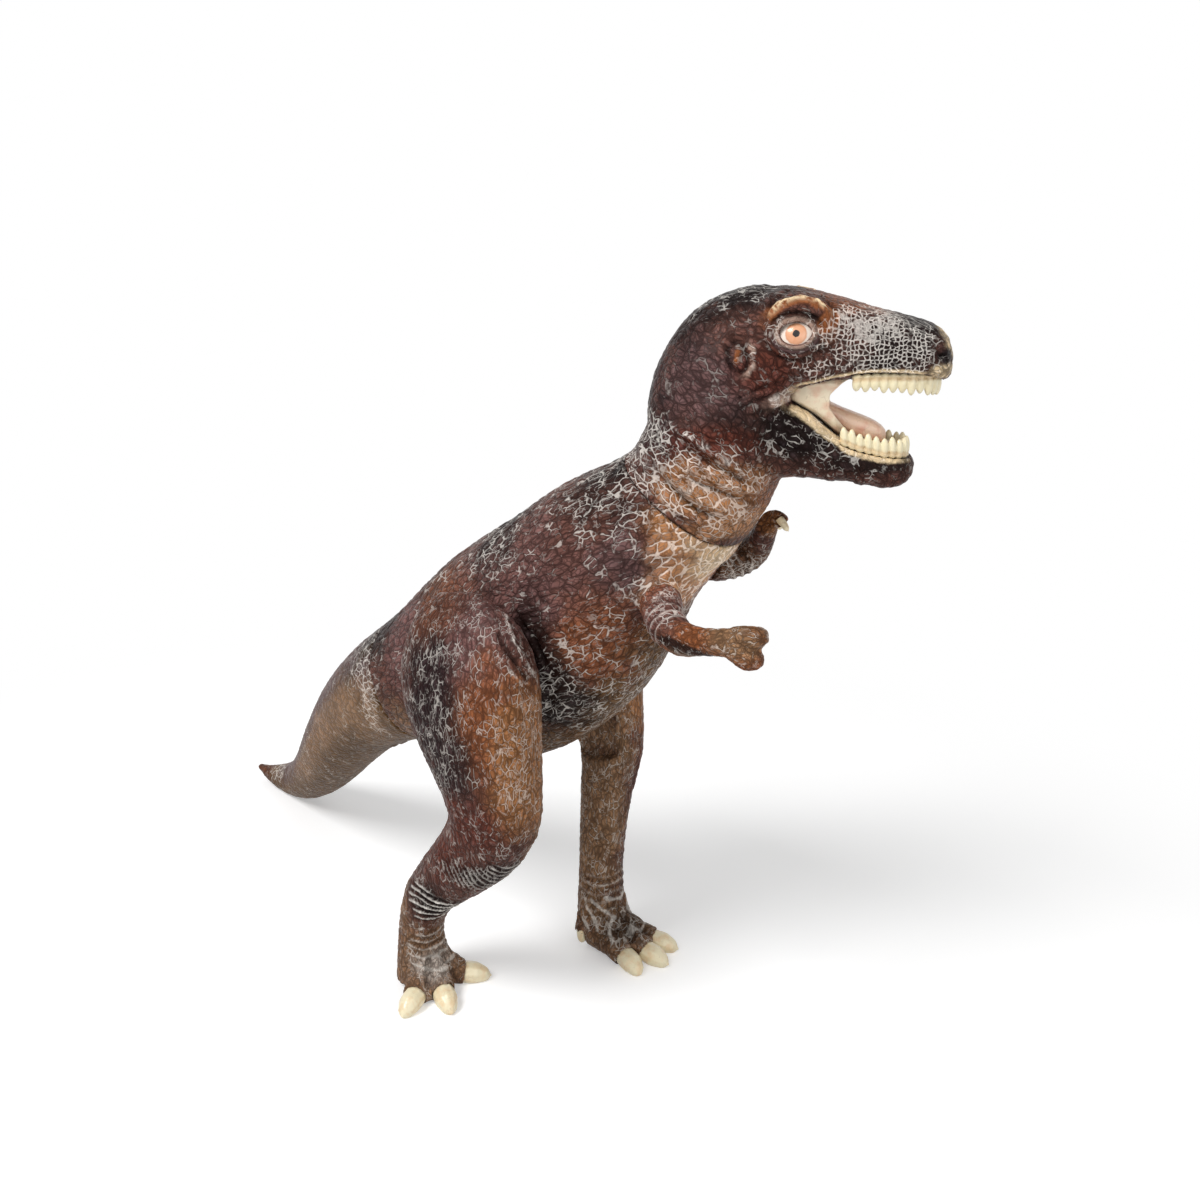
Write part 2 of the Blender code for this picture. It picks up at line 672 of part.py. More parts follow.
def gum_line(shares):
    """Full line of a gum from one side round the front to the other."""
    half = [Vector(sized(row)) for row in shares]
    other = [Vector((point.x, -point.y, point.z)) for point in reversed(half[:-1])]
    return [head_place() @ Vector(point) for point in smooth_rows(half + other, SPLINE_STEPS)]


def gum(shares, more=0.0):
    """Bar of gum."""
    line = gum_line(shares)
    halves = [(GUM_RADIUS + more, GUM_RADIUS + more)] * len(line)
    return tube(line, halves, Vector((0, 0, 1)), CLAW_SIDES, ROUND_SHARE)


def head_shell():
    """Hollow head with its plug, eye sockets, mouth hollow and gum grooves."""
    root, along = Vector(sized(NECK_JOINT_SHARES)), neck_axis()
    head = sliced(head_blank(), root + along * GAP, -along)
    carve(head, [head_tube(MOUTH_SHARES, MOUTH_SQUARE_SHARE)])
    carve(head, [gum(UPPER_GUM_SHARES, GAP), gum(LOWER_GUM_SHARES, GAP)])
    carve(head, [ball(eye_centre(hand), EYE_RADIUS + GAP, CLAW_SIDES, CORE_SIDES) for hand in (-1, 1)])
    core = limb(HEAD_CORE_SHARES, sides=CORE_SIDES, steps=1)
    sliced(core, root + along * DISC_WALL, -along)
    carve(head, [core])
    weld(head, plug(root, along, NECK_STEM, FLANGE_LIP, WALL))
    return carve(head, [bore(root, along, NECK_STEM, WALL * 2)])


def eye_centre(hand):
    """Centre of an eyeball."""
    forward, side, up = sized(EYE_SHARES)
    return head_place() @ Vector((forward, hand * side, up))


def mouth_lining():
    """Palate, cheeks and floor of the mouth in one thin moulding."""
    lining = head_tube(MOUTH_SHARES, MOUTH_SQUARE_SHARE, less=GAP, first=GAP, sides=CORE_SIDES)
    inside = head_tube(MOUTH_SHARES, MOUTH_SQUARE_SHARE, less=GAP + CHEEK_WALL, first=GAP + CHEEK_WALL,
                       last=CHEEK_WALL, sides=CORE_SIDES)
    carve(lining, [inside])
    return carve(lining, [head_tube(MOUTH_BITE_SHARES, MOUTH_SQUARE_SHARE, sides=CORE_SIDES)])


def tooth(root, down, out, radius, length):
    """One pointed tooth, slightly flattened."""
    shape = [(-GUM_RADIUS / 2, 1)] + [(length * far, wide) for far, wide in TOOTH_PROFILE_SHARES]
    centres = [root + down * reach for reach, _ in shape]
    halves = [(radius * wide, radius * wide * TOOTH_DEPTH_SHARE) for _, wide in shape]
    return tube(centres, halves, out, TOOTH_SIDES, ROUND_SHARE)


def row_of_teeth(shares, count, length, down):
    """Gum bar with its teeth side by side, longer towards the front."""
    line = gum_line(shares)
    bar = gum(shares)
    reach = [0.0]
    for start, stop in zip(line, line[1:]):
        reach.append(reach[-1] + (stop - start).length)
    radius = TOOTH_FILL_SHARE * reach[-1] / count
    teeth = []
    for number in range(count):
        part = (2 * number + 1) / (2 * count)
        where = reach[-1] * part
        index = max(i for i, far in enumerate(reach[:-1]) if far <= where)
        root = line[index].lerp(line[index + 1], (where - reach[index]) / (reach[index + 1] - reach[index]))
        along = (line[index + 1] - line[index]).normalized()
        front = min(1, 2 - abs(4 * part - 2))
        full = REAR_TOOTH_SHARE + (1 - REAR_TOOTH_SHARE) * front
        teeth.append(tooth(root, down, along, radius, length * full))
    return weld(bar, [joined(teeth)])


def tongue():
    """Tongue that lies on the floor of the mouth."""
    return head_tube(TONGUE_SHARES, TONGUE_SQUARE_SHARE, sides=CORE_SIDES)


def claw(end, heading, radius, length, more=0.0):
    """Curved horn claw whose root sits in the end of a toe."""
    forward = Vector(heading).normalized()
    droop = Vector((0.0, 0.0, -1.0))
    shape = [(-CLAW_ROOT - more, 1, 0)]
    shape += [(length * far, wide, length * drop) for far, wide, drop in CLAW_PROFILE_SHARES]
    centres = [end + forward * reach + droop * drop for reach, _, drop in shape]
    halves = [(radius * wide + more, radius * wide + more) for _, wide, _ in shape]
    return tube(centres, halves, Vector((0, 0, 1)), CLAW_SIDES, ROUND_SHARE)


def claw_of(digit, radius, length, more=0.0):
    """Claw at the end of a toe, a spur or a finger."""
    shares, heading = digit
    return claw(Vector(sized(shares[-1][:3])), heading, radius, length, more)


def toe_claw(digit, more=0.0):
    """Claw of a toe, flat underneath where it rests on the floor."""
    piece = claw_of(digit, TOE_CLAW_RADIUS, TOE_CLAW, more)
    return sliced(piece, Vector((0.0, 0.0, SOLE_CUT - more)), Vector((0.0, 0.0, -1.0)))


def thigh_clearance(face, out):
    """Cutter that clears the flank of the torso behind the thigh."""
    bm = bmesh.new()
    near, far = sized(THIGH_CLEARANCE_SHARES)
    bmesh.ops.create_cone(bm, cap_ends=True, segments=RING_SIDES * 2, radius1=near, radius2=far, depth=BORE_REACH)
    turn = Vector((0, 0, 1)).rotation_difference(-out).to_matrix().to_4x4()
    bm.transform(Matrix.Translation(face - out * BORE_REACH / 2) @ turn)
    mesh = bpy.data.meshes.new("clearance")
    bm.to_mesh(mesh)
    bm.free()
    return placed("clearance", mesh)


def leg_shell(hand, shares, toes, spur):
    """Leg that is hollow in the thigh and the shin, with its plug and flat sole."""
    bodies = [leg_limb(shares), finger(spur[0], SPUR_CLAW_RADIUS + SPUR_RIM)]
    bodies += [finger(shares_of_toe, TOE_CLAW_RADIUS + TOE_RIM) for shares_of_toe, _ in toes.values()]
    leg = moulded(bodies, FINE_VOXEL, 3, LEG_KEEP_SHARE)
    sliced(leg, Vector((0.0, 0.0, SOLE_CUT)), Vector((0.0, 0.0, -1.0)))
    out = Vector((0.0, hand, 0.0))
    hip = hip_point(hand)
    face = hip + out * GAP
    carve(leg, [thigh_clearance(face, out)])
    core = leg_limb(shares[1:9], less=WALL, sides=CORE_SIDES, steps=1)
    sliced(core, face + out * DISC_WALL, -out)
    carve(leg, [core])
    weld(leg, plug(hip, out, HIP_STEM, FLANGE_LIP, WALL))
    carve(leg, [bore(hip, out, HIP_STEM, WALL * 2)])
    for digit in toes.values():
        carve(leg, [claw_of(digit, TOE_CLAW_RADIUS, TOE_CLAW, GAP)])
    return carve(leg, [claw_of(spur, SPUR_CLAW_RADIUS, SPUR_CLAW, GAP)])


def arm_shell(hand, shares, fingers):
    """Small arm with two fingers and its plug."""
    root, along = shoulder_point(hand), shoulder_axis(hand)
    digits = [finger(row, FINGER_CLAW_RADIUS + FINGER_RIM) for row, _ in fingers.values()]
    arm = moulded([limb(shares)] + digits, FINE_VOXEL, 3, ARM_KEEP_SHARE)
    sliced(arm, root + along * GAP, -along)
    weld(arm, plug(root, along, SHOULDER_STEM, SHOULDER_LIP, WALL))
    return carve(arm, [claw_of(digit, FINGER_CLAW_RADIUS, FINGER_CLAW, GAP) for digit in fingers.values()])


def skin_finish():
    """Brown painted vinyl."""
    return finish("painted_vinyl_brown", (0.16, 0.085, 0.055), 0.5)


def pieces_of_the_head():
    """Head shell and all that is fitted in it."""
    ivory = finish("tooth_ivory", (0.80, 0.74, 0.56), 0.4)
    down = Vector((0.0, 0.0, -1.0))
    yield "head_shell", head_shell(), finish("painted_vinyl_head", (0.13, 0.075, 0.055), 0.5)
    for side, hand in (("right", -1), ("left", 1)):
        yield f"{side}_eye", ball(eye_centre(hand), EYE_RADIUS, CLAW_SIDES, CORE_SIDES), \
            finish(f"eye_gloss_{side}", (0.80, 0.55, 0.32), 0.15)
    yield "mouth_lining", mouth_lining(), finish("mouth_cream", (0.62, 0.45, 0.36), 0.45)
    yield "tongue", tongue(), finish("tongue_pink", (0.60, 0.36, 0.30), 0.4)
    yield "upper_teeth", row_of_teeth(UPPER_GUM_SHARES, UPPER_TEETH, UPPER_TOOTH, down), ivory
    yield "lower_teeth", row_of_teeth(LOWER_GUM_SHARES, LOWER_TEETH, LOWER_TOOTH, -down), ivory


def pieces_of_a_leg(side, hand, shares, toes, spur):
    """Leg shell and its four claws."""
    horn = finish(f"claw_ivory_{side}_foot", (0.80, 0.74, 0.55), 0.4)
    yield f"{side}_leg_shell", leg_shell(hand, shares, toes, spur), \
        finish(f"painted_vinyl_{side}_leg", (0.17, 0.09, 0.06), 0.5)
    for name, digit in toes.items():
        yield f"{side}_{name}_toe_claw", toe_claw(digit), horn
    yield f"{side}_spur_claw", claw_of(spur, SPUR_CLAW_RADIUS, SPUR_CLAW), horn


def pieces_of_an_arm(side, hand, shares, fingers):
    """Arm shell and its two claws."""
    horn = finish(f"claw_ivory_{side}_hand", (0.80, 0.74, 0.55), 0.4)
    yield f"{side}_arm_shell", arm_shell(hand, shares, fingers), \
        finish(f"painted_vinyl_{side}_arm", (0.15, 0.08, 0.06), 0.5)
    for name, digit in fingers.items():
        yield f"{side}_{name}_finger_claw", claw_of(digit, FINGER_CLAW_RADIUS, FINGER_CLAW), horn


def every_piece():
    """All pieces of the figure as name, object and finish."""
    yield "torso_shell", torso_shell(), skin_finish()
    yield "tail_shell", tail_shell(), finish("painted_vinyl_tail", (0.18, 0.11, 0.07), 0.5)
    yield from pieces_of_the_head()
    yield from pieces_of_a_leg("right", -1, RIGHT_LEG_SHARES, RIGHT_TOES, RIGHT_SPUR)
    yield from pieces_of_a_leg("left", 1, LEFT_LEG_SHARES, LEFT_TOES, LEFT_SPUR)
    yield from pieces_of_an_arm("right", -1, RIGHT_ARM_SHARES, RIGHT_FINGERS)
    yield from pieces_of_an_arm("left", 1, LEFT_ARM_SHARES, LEFT_FINGERS)


def told(point):
    """Coordinates rounded for the log."""
    return [round(value, 5) for value in point]


def build():
    """Make the whole figure with its lowest point on the floor and its box centred on the origin."""
    fresh_scene()
    pieces = []
    for name, piece, material in every_piece():
        piece.name = name
        piece.data.name = name
        piece.data.materials.clear()
        piece.data.materials.append(material)
        pieces.append(piece)
    corners = [vertex.co for piece in pieces for vertex in piece.data.vertices]
    low = [min(corner[axis] for corner in corners) for axis in range(3)]
    high = [max(corner[axis] for corner in corners) for axis in range(3)]
    shift = Vector((-(low[0] + high[0]) / 2, -(low[1] + high[1]) / 2, -low[2]))
    for piece in pieces:
        piece.data.transform(Matrix.Translation(shift))
        piece.data.shade_smooth()
    print("origin shift", *(round(value, 5) for value in shift))
    print("size", *(round(high[axis] - low[axis], 4) for axis in range(3)))
    print("neck", *told(Vector(sized(NECK_JOINT_SHARES)) + shift), *told(neck_axis()))
    print("tail", *told(Vector(sized(TAIL_JOINT_SHARES)) + shift), *told(tail_axis()))
    print("hip", *told(hip_point(-1) + shift), *told(hip_point(1) + shift))
    for hand in (-1, 1):
        print("shoulder", *told(shoulder_point(hand) + shift), *told(shoulder_axis(hand)))


build()
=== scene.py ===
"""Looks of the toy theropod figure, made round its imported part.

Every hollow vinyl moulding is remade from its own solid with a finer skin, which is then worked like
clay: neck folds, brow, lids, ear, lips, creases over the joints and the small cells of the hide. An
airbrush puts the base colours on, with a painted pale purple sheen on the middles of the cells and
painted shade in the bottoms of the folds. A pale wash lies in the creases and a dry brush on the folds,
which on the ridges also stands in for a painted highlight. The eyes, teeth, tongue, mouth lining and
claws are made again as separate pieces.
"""
import logging
import math
from dataclasses import dataclass
from enum import Enum
from itertools import product

import bmesh
import bpy
import numpy as np
from mathutils import Matrix, Vector
from mathutils.bvhtree import BVHTree


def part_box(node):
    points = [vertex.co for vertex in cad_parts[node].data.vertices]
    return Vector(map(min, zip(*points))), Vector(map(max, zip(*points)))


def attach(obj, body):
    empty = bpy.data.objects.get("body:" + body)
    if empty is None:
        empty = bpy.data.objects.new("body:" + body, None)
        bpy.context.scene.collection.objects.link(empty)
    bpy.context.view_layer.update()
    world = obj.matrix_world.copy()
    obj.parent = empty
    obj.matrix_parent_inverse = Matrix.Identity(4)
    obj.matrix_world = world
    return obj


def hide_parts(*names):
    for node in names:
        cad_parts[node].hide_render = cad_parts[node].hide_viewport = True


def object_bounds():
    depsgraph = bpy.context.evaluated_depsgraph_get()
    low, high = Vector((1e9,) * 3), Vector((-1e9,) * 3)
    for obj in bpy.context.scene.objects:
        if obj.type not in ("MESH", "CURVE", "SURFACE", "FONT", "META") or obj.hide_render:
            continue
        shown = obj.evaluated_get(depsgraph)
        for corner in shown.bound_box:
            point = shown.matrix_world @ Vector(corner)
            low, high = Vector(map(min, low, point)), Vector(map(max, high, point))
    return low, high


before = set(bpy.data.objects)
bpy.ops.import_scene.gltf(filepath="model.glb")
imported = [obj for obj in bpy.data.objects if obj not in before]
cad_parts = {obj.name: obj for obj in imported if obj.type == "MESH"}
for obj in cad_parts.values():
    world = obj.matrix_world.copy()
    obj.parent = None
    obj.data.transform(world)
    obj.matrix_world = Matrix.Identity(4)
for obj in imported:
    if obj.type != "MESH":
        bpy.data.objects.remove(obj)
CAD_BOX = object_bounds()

log = logging.getLogger("figure")

MM = 0.001
CM = 0.01
MM_PER_CM = 10.0
CM_PER_DM = 10.0
PELVIS = np.array([0.05599, 0.00185, -0.0012])       # where the pelvis stands in the row frame
HEAD_SEAT = np.array([0.0790, 0.0180, 0.2620])       # root of the skull, from the pelvis
HEAD_TURN = math.radians(28.0)                       # the head looks to its left
SPINE = ((-27.4, 5.6, 1.0), (-25.0, 5.65, 0.85), (-23.3, 5.45, 1.25), (-21.3, 4.9, 2.3), (-18.8, 3.9, 4.25),
         (-16.0, 2.6, 6.8), (-13.2, 1.5, 9.35), (-10.8, 0.75, 11.25), (-8.8, 0.3, 12.55), (-7.0, 0.05, 13.55),
         (-4.1, 0.0, 14.75), (-0.1, 0.0, 16.95), (3.45, 0.1, 20.35), (4.75, 0.35, 21.85), (6.0, 0.65, 23.0),
         (7.15, 0.9, 24.1), (8.45, 1.8, 28.0))       # forward, to the left, up, in centimetres


class Measure(Enum):
    """The axes that fold lines and paint are placed on, in centimetres, the same on both sides."""

    BODY = "forward, away from the bent middle plane, up"
    TAIL = "forward, away from the bent middle plane, up from the spine"
    LIMB = "forward, away from the flat middle plane, up"
    HEAD = "forward along the skull, away from its middle plane, up from its root"

    def of(self, points: np.ndarray) -> np.ndarray:
        """Return points of the row frame on these axes.

        Args:
            points: places in the row frame, one row each, in metres.

        Returns:
            The same places in centimetres, with the side distance never negative.
        """
        local = (points - PELVIS) / CM
        spine = np.array(SPINE)
        if self is Measure.HEAD:
            local = local - HEAD_SEAT / CM
            cosine, sine = math.cos(HEAD_TURN), math.sin(HEAD_TURN)
            forward = local[:, 0] * cosine + local[:, 1] * sine
            local[:, 1] = local[:, 1] * cosine - local[:, 0] * sine
            local[:, 0] = forward
        if self in (Measure.BODY, Measure.TAIL):
            local[:, 1] -= np.interp(local[:, 0], spine[:, 0], spine[:, 1])
        if self is Measure.TAIL:
            local[:, 2] -= np.interp(local[:, 0], spine[:, 0], spine[:, 2])
        local[:, 1] = np.abs(local[:, 1])
        return local


def head_point(forward: float, side: float, up: float) -> Vector:
    """Find a place that is given on the skull's axes.

    Args:
        forward, side, up: the place in centimetres, with the left side positive.

    Returns:
        The same place in the row frame, in metres.
    """
    cosine, sine = math.cos(HEAD_TURN), math.sin(HEAD_TURN)
    offset = Vector((forward * cosine - side * sine, forward * sine + side * cosine, up)) * CM
    return Vector(PELVIS) + Vector(HEAD_SEAT) + offset


def smooth_step(value: np.ndarray, low: float, high: float) -> np.ndarray:
    """Return 0 below low, 1 above high and a soft rise between them."""
    share = np.clip((value - low) / (high - low), 0.0, 1.0)
    return share * share * (3.0 - 2.0 * share)


SEED_STEP = 17.13
HASH_FACTORS = (73856093, 19349663, 83492791)
HASH_MIX = 1274126177
HASH_TOP = 0xFFFF


def clouds(points: np.ndarray, size: float, seed: int) -> np.ndarray:
    """Make soft random clouds, the same on every run.

    Args:
        points: places, one row each.
        size: width of one cloud, in the unit of the places.
        seed: which clouds.

    Returns:
        The density of the clouds at each place, 0 to 1.
    """
    spot = points / size + seed * SEED_STEP
    base = np.floor(spot).astype(np.int64)
    blend = spot - base
    blend = blend * blend * (3.0 - 2.0 * blend)
    total = np.zeros(len(points))
    for corner in product((0, 1), repeat=3):
        cell = (base + np.array(corner)) * np.array(HASH_FACTORS)
        mixed = cell[:, 0] ^ cell[:, 1] ^ cell[:, 2]
        mixed = (mixed ^ (mixed >> 13)) * HASH_MIX
        value = ((mixed ^ (mixed >> 16)) & HASH_TOP) / HASH_TOP
        total += value * np.prod(np.where(corner, blend, 1.0 - blend), axis=1)
    return total


@dataclass(frozen=True)
class Specks:
    """Random specks, where several layers of clouds come to a level together.

    A layer is the width of its clouds in centimetres, their seed and their share. The specks start at
    low and are full at high.
    """

    layers: tuple[tuple[float, int, float], ...]
    low: float
    high: float

    def of(self, places: np.ndarray, start: np.ndarray | float = 0.0) -> np.ndarray:
        """Lay the specks.

        Args:
            places: places on the moulding's axes, in centimetres.
            start: level that the clouds are added to.

        Returns:
            How full the specks are at each place, 0 to 1.
        """
        level = sum(clouds(places, size, seed) * share for size, seed, share in self.layers)
        return smooth_step(level + start, self.low, self.high)


def puff(places: np.ndarray, at: tuple[float, float, float], reach: tuple[float, float, float], soft: float,
         ragged: np.ndarray) -> np.ndarray:
    """Find how dense a soft oval zone is.

    Args:
        places: places on the moulding's axes, in centimetres.
        at: middle of the zone.
        reach: its half width on each axis.
        soft: share of the half width over which it fades.
        ragged: unevenness of its edge at each place.

    Returns:
        The density at each place, 0 to 1.
    """
    distance = np.linalg.norm((places - np.array(at)) / np.array(reach), axis=1) + ragged
    return 1.0 - smooth_step(distance, 1.0 - soft, 1.0 + soft * 0.6)


@dataclass(frozen=True)
class Tint:
    """A paint as a painter names it: red, green and blue, 0 to 255."""

    red: int
    green: int
    blue: int

    def linear(self) -> tuple[float, float, float, float]:
        """Return the paint as the shader wants it, by the usual curve of display colours."""
        parts = [channel / 255.0 for channel in (self.red, self.green, self.blue)]
        parts = [p / 12.92 if p <= 0.04045 else ((p + 0.055) / 1.055) ** 2.4 for p in parts]
        return (parts[0], parts[1], parts[2], 1.0)


class Paint(Enum):
    """The airbrush paints of the figure."""

    BARK = Tint(100, 66, 57)
    DUSK = Tint(40, 27, 29)
    NIGHT = Tint(24, 14, 12)
    PLUM = Tint(94, 70, 69)
    MAUVE = Tint(120, 86, 83)
    WINE = Tint(98, 50, 38)
    RUST = Tint(128, 77, 50)
    FOX = Tint(144, 86, 52)
    TAN = Tint(168, 116, 74)
    SAND = Tint(188, 134, 92)
    OLIVE = Tint(106, 78, 50)
    MOSS = Tint(136, 100, 66)
    CLAY = Tint(148, 114, 84)
    TAUPE = Tint(164, 136, 122)
    CREAM = Tint(234, 208, 168)
    CHALK = Tint(230, 224, 216)
    INK = Tint(22, 15, 14)


@dataclass(frozen=True)
class Spray:
    """One soft cloud from the airbrush: where, how far on each axis, which paint and how dense."""

    at: tuple[float, float, float]
    reach: tuple[float, float, float]
    paint: Paint
    density: float = 0.9
    soft: float = 0.55

    def cover(self, places: np.ndarray, ragged: np.ndarray) -> np.ndarray:
        """Return how much of the paint lies at each place, 0 to 1."""
        return self.density * puff(places, self.at, self.reach, self.soft, ragged)


@dataclass(frozen=True)
class Rub:
    """A soft zone where the hide's pattern has levels of its own. A level of None stays as it was.

    Wash is the pale paint left in the creases, crease the dark paint there, breadth the width of the
    pale lines and net the share of the muzzle's fine square net.
    """

    at: tuple[float, float, float]
    reach: tuple[float, float, float]
    wash: float | None = None
    crease: float | None = None
    breadth: float | None = None
    net: float | None = None
    soft: float = 0.5

    def levels(self) -> tuple[float | None, ...]:
        """Return the levels in the order of the marks attribute."""
        return (self.wash, self.crease, self.breadth, self.net)


class Section(Enum):
    """The section across a fold line."""

    ROUND = "a rounded ridge or a wide furrow"
    SHARP = "a narrow crease or a sharp edge"
    FLAT = "a flat field with soft sides"

    def height(self, share: np.ndarray) -> np.ndarray:
        """Find the height of the section.

        Args:
            share: distance from the line, as a share of the half width.

        Returns:
            The height at each distance, 0 to 1.
        """
        inside = np.clip(share, 0.0, 1.0)
        if self is Section.ROUND:
            return 0.5 + 0.5 * np.cos(math.pi * inside)
        if self is Section.SHARP:
            return (1.0 - inside) ** 2
        return 1.0 - smooth_step(inside, 0.55, 1.0)


FOLD_STEPS = 6                                       # between two points of a line
FOLD_END = 0.03                                      # share of an open line where it ends low
FOLD_FADE = 2.2                                      # how steeply an open line rises from its ends


@dataclass(frozen=True)
class Fold:
    """A fold or crease that follows a line over the hide.

    The line has two numbers a point, forward and up, where it is seen from the side. With three
    numbers it is laid on the hide nearest to it. Width is half the fold's width and height its rise,
    both in millimetres, and a crease has a height below zero. Pale says how much pale paint its crest
    holds, a dry brush that on the ridges also stands in for a painted highlight, and dark how much
    painted shade darkens its bottom. A tint colours it, in specks where it is patchy. Facing keeps it
    off hide that looks less sideways than that share.
    """

    line: tuple[tuple[float, ...], ...]
    width: float
    height: float
    section: Section = Section.ROUND
    pale: float = 0.0
    dark: float = 0.0
    facing: float = 0.0
    closed: bool = False
    tint: Paint | None = None
    patchy: bool = False

    def path(self) -> np.ndarray:
        """Return the line as close, smooth steps."""
        points = [np.array(point, float) for point in self.line]
        if self.closed:
            points = [points[-1], *points, points[0], points[1]]
        else:
            points = [2 * points[0] - points[1], *points, 2 * points[-1] - points[-2]]
        steps = []
        for a, b, c, d in zip(points, points[1:], points[2:], points[3:]):
            for share in np.linspace(0.0, 1.0, FOLD_STEPS, endpoint=False):
                steps.append(0.5 * (2 * b + (c - a) * share + (2 * a - 5 * b + 4 * c - d) * share ** 2
                                    + (3 * b - a - 3 * c + d) * share ** 3))
        steps.append(points[-2])
        return np.array(steps)

    @staticmethod
    def _nearest(spots: np.ndarray, path: np.ndarray) -> tuple[np.ndarray, np.ndarray]:
        """Measure places against a line.

        Args:
            spots: the places, one row each.
            path: points of the line, one row each.

        Returns:
            The distance of each place from the line, and the share of the line passed there.
        """
        best = np.full(len(spots), np.inf)
        along = np.zeros(len(spots))
        for number, (start, end) in enumerate(zip(path, path[1:])):
            step = end - start
            share = np.clip(((spots - start) @ step) / max(step @ step, 1e-12), 0.0, 1.0)
            distance = np.linalg.norm(spots - start - share[:, None] * step, axis=1)
            closer = distance < best
            best = np.where(closer, distance, best)
            along = np.where(closer, (number + share) / (len(path) - 1), along)
        return best, along

    def profile(self, places: np.ndarray, sideways: np.ndarray) -> tuple[np.ndarray, np.ndarray]:
        """Return which places the fold reaches, and its height there, 0 to 1.

        Args:
            places: places on the moulding's axes, in centimetres.
            sideways: how far the hide faces sideways at each place, 0 to 1.

        Returns:
            The numbers of the reached places, and the height at each.
        """
        path = self.path()
        flat = path.shape[1] == 2
        spots = places[:, (0, 2)] if flat else places
        if not flat:
            path = np.array([places[np.argmin(((places - spot) ** 2).sum(axis=1))] for spot in path])
        reach = self.width * MM / CM
        low, high = path.min(0) - reach, path.max(0) + reach
        near = np.nonzero(np.all((spots > low) & (spots < high), axis=1))[0]
        if not len(near):
            return near, np.zeros(0)
        distance, along = self._nearest(spots[near], path)
        height = self.section.height(distance / reach)
        if not self.closed:
            inside = np.clip(along, FOLD_END, 1.0 - FOLD_END)
            height = height * np.clip(np.sin(math.pi * inside) * FOLD_FADE, 0.0, 1.0)
        if self.facing:
            height = height * smooth_step(sideways[near], self.facing * 0.5, self.facing)
        return near, height


@dataclass(frozen=True)
class Bands:
    """A row of short folds across a limb, as over an ankle.

    At, spacing, reach and wander are in centimetres and height in millimetres. Each fold lies across
    the axis, and wander is how far it strays along it. Pale puts chalk dashes on the crests, and dark is
    painted shade in the creases between them.
    """

    at: tuple[float, float, float]
    axis: tuple[float, float, float]
    count: int
    spacing: float
    height: float
    reach: tuple[float, float, float]
    pale: float = 0.0
    dark: float = 0.0
    wander: float = 0.12

    def profile(self, places: np.ndarray) -> np.ndarray:
        """Find the height of the row.

        Args:
            places: places on the moulding's axes, in centimetres.

        Returns:
            The height at each place, 1 on a crest and -1 in a crease.
        """
        axis = np.array(self.axis) / np.linalg.norm(self.axis)
        along = (places - np.array(self.at)) @ axis
        along = along + self.wander * (clouds(places, 0.9, 5) - 0.5) * 2.0
        half = self.count * self.spacing / 2.0
        zone = np.linalg.norm((places - np.array(self.at)) / np.array(self.reach), axis=1)
        zone = 1.0 - smooth_step(zone + 0.5 * (clouds(places, 0.7, 9) - 0.5), 0.7, 1.1)
        inside = 1.0 - smooth_step(np.abs(along), half * 0.85, half)
        return np.cos(along / self.spacing * 2.0 * math.pi) * zone * inside


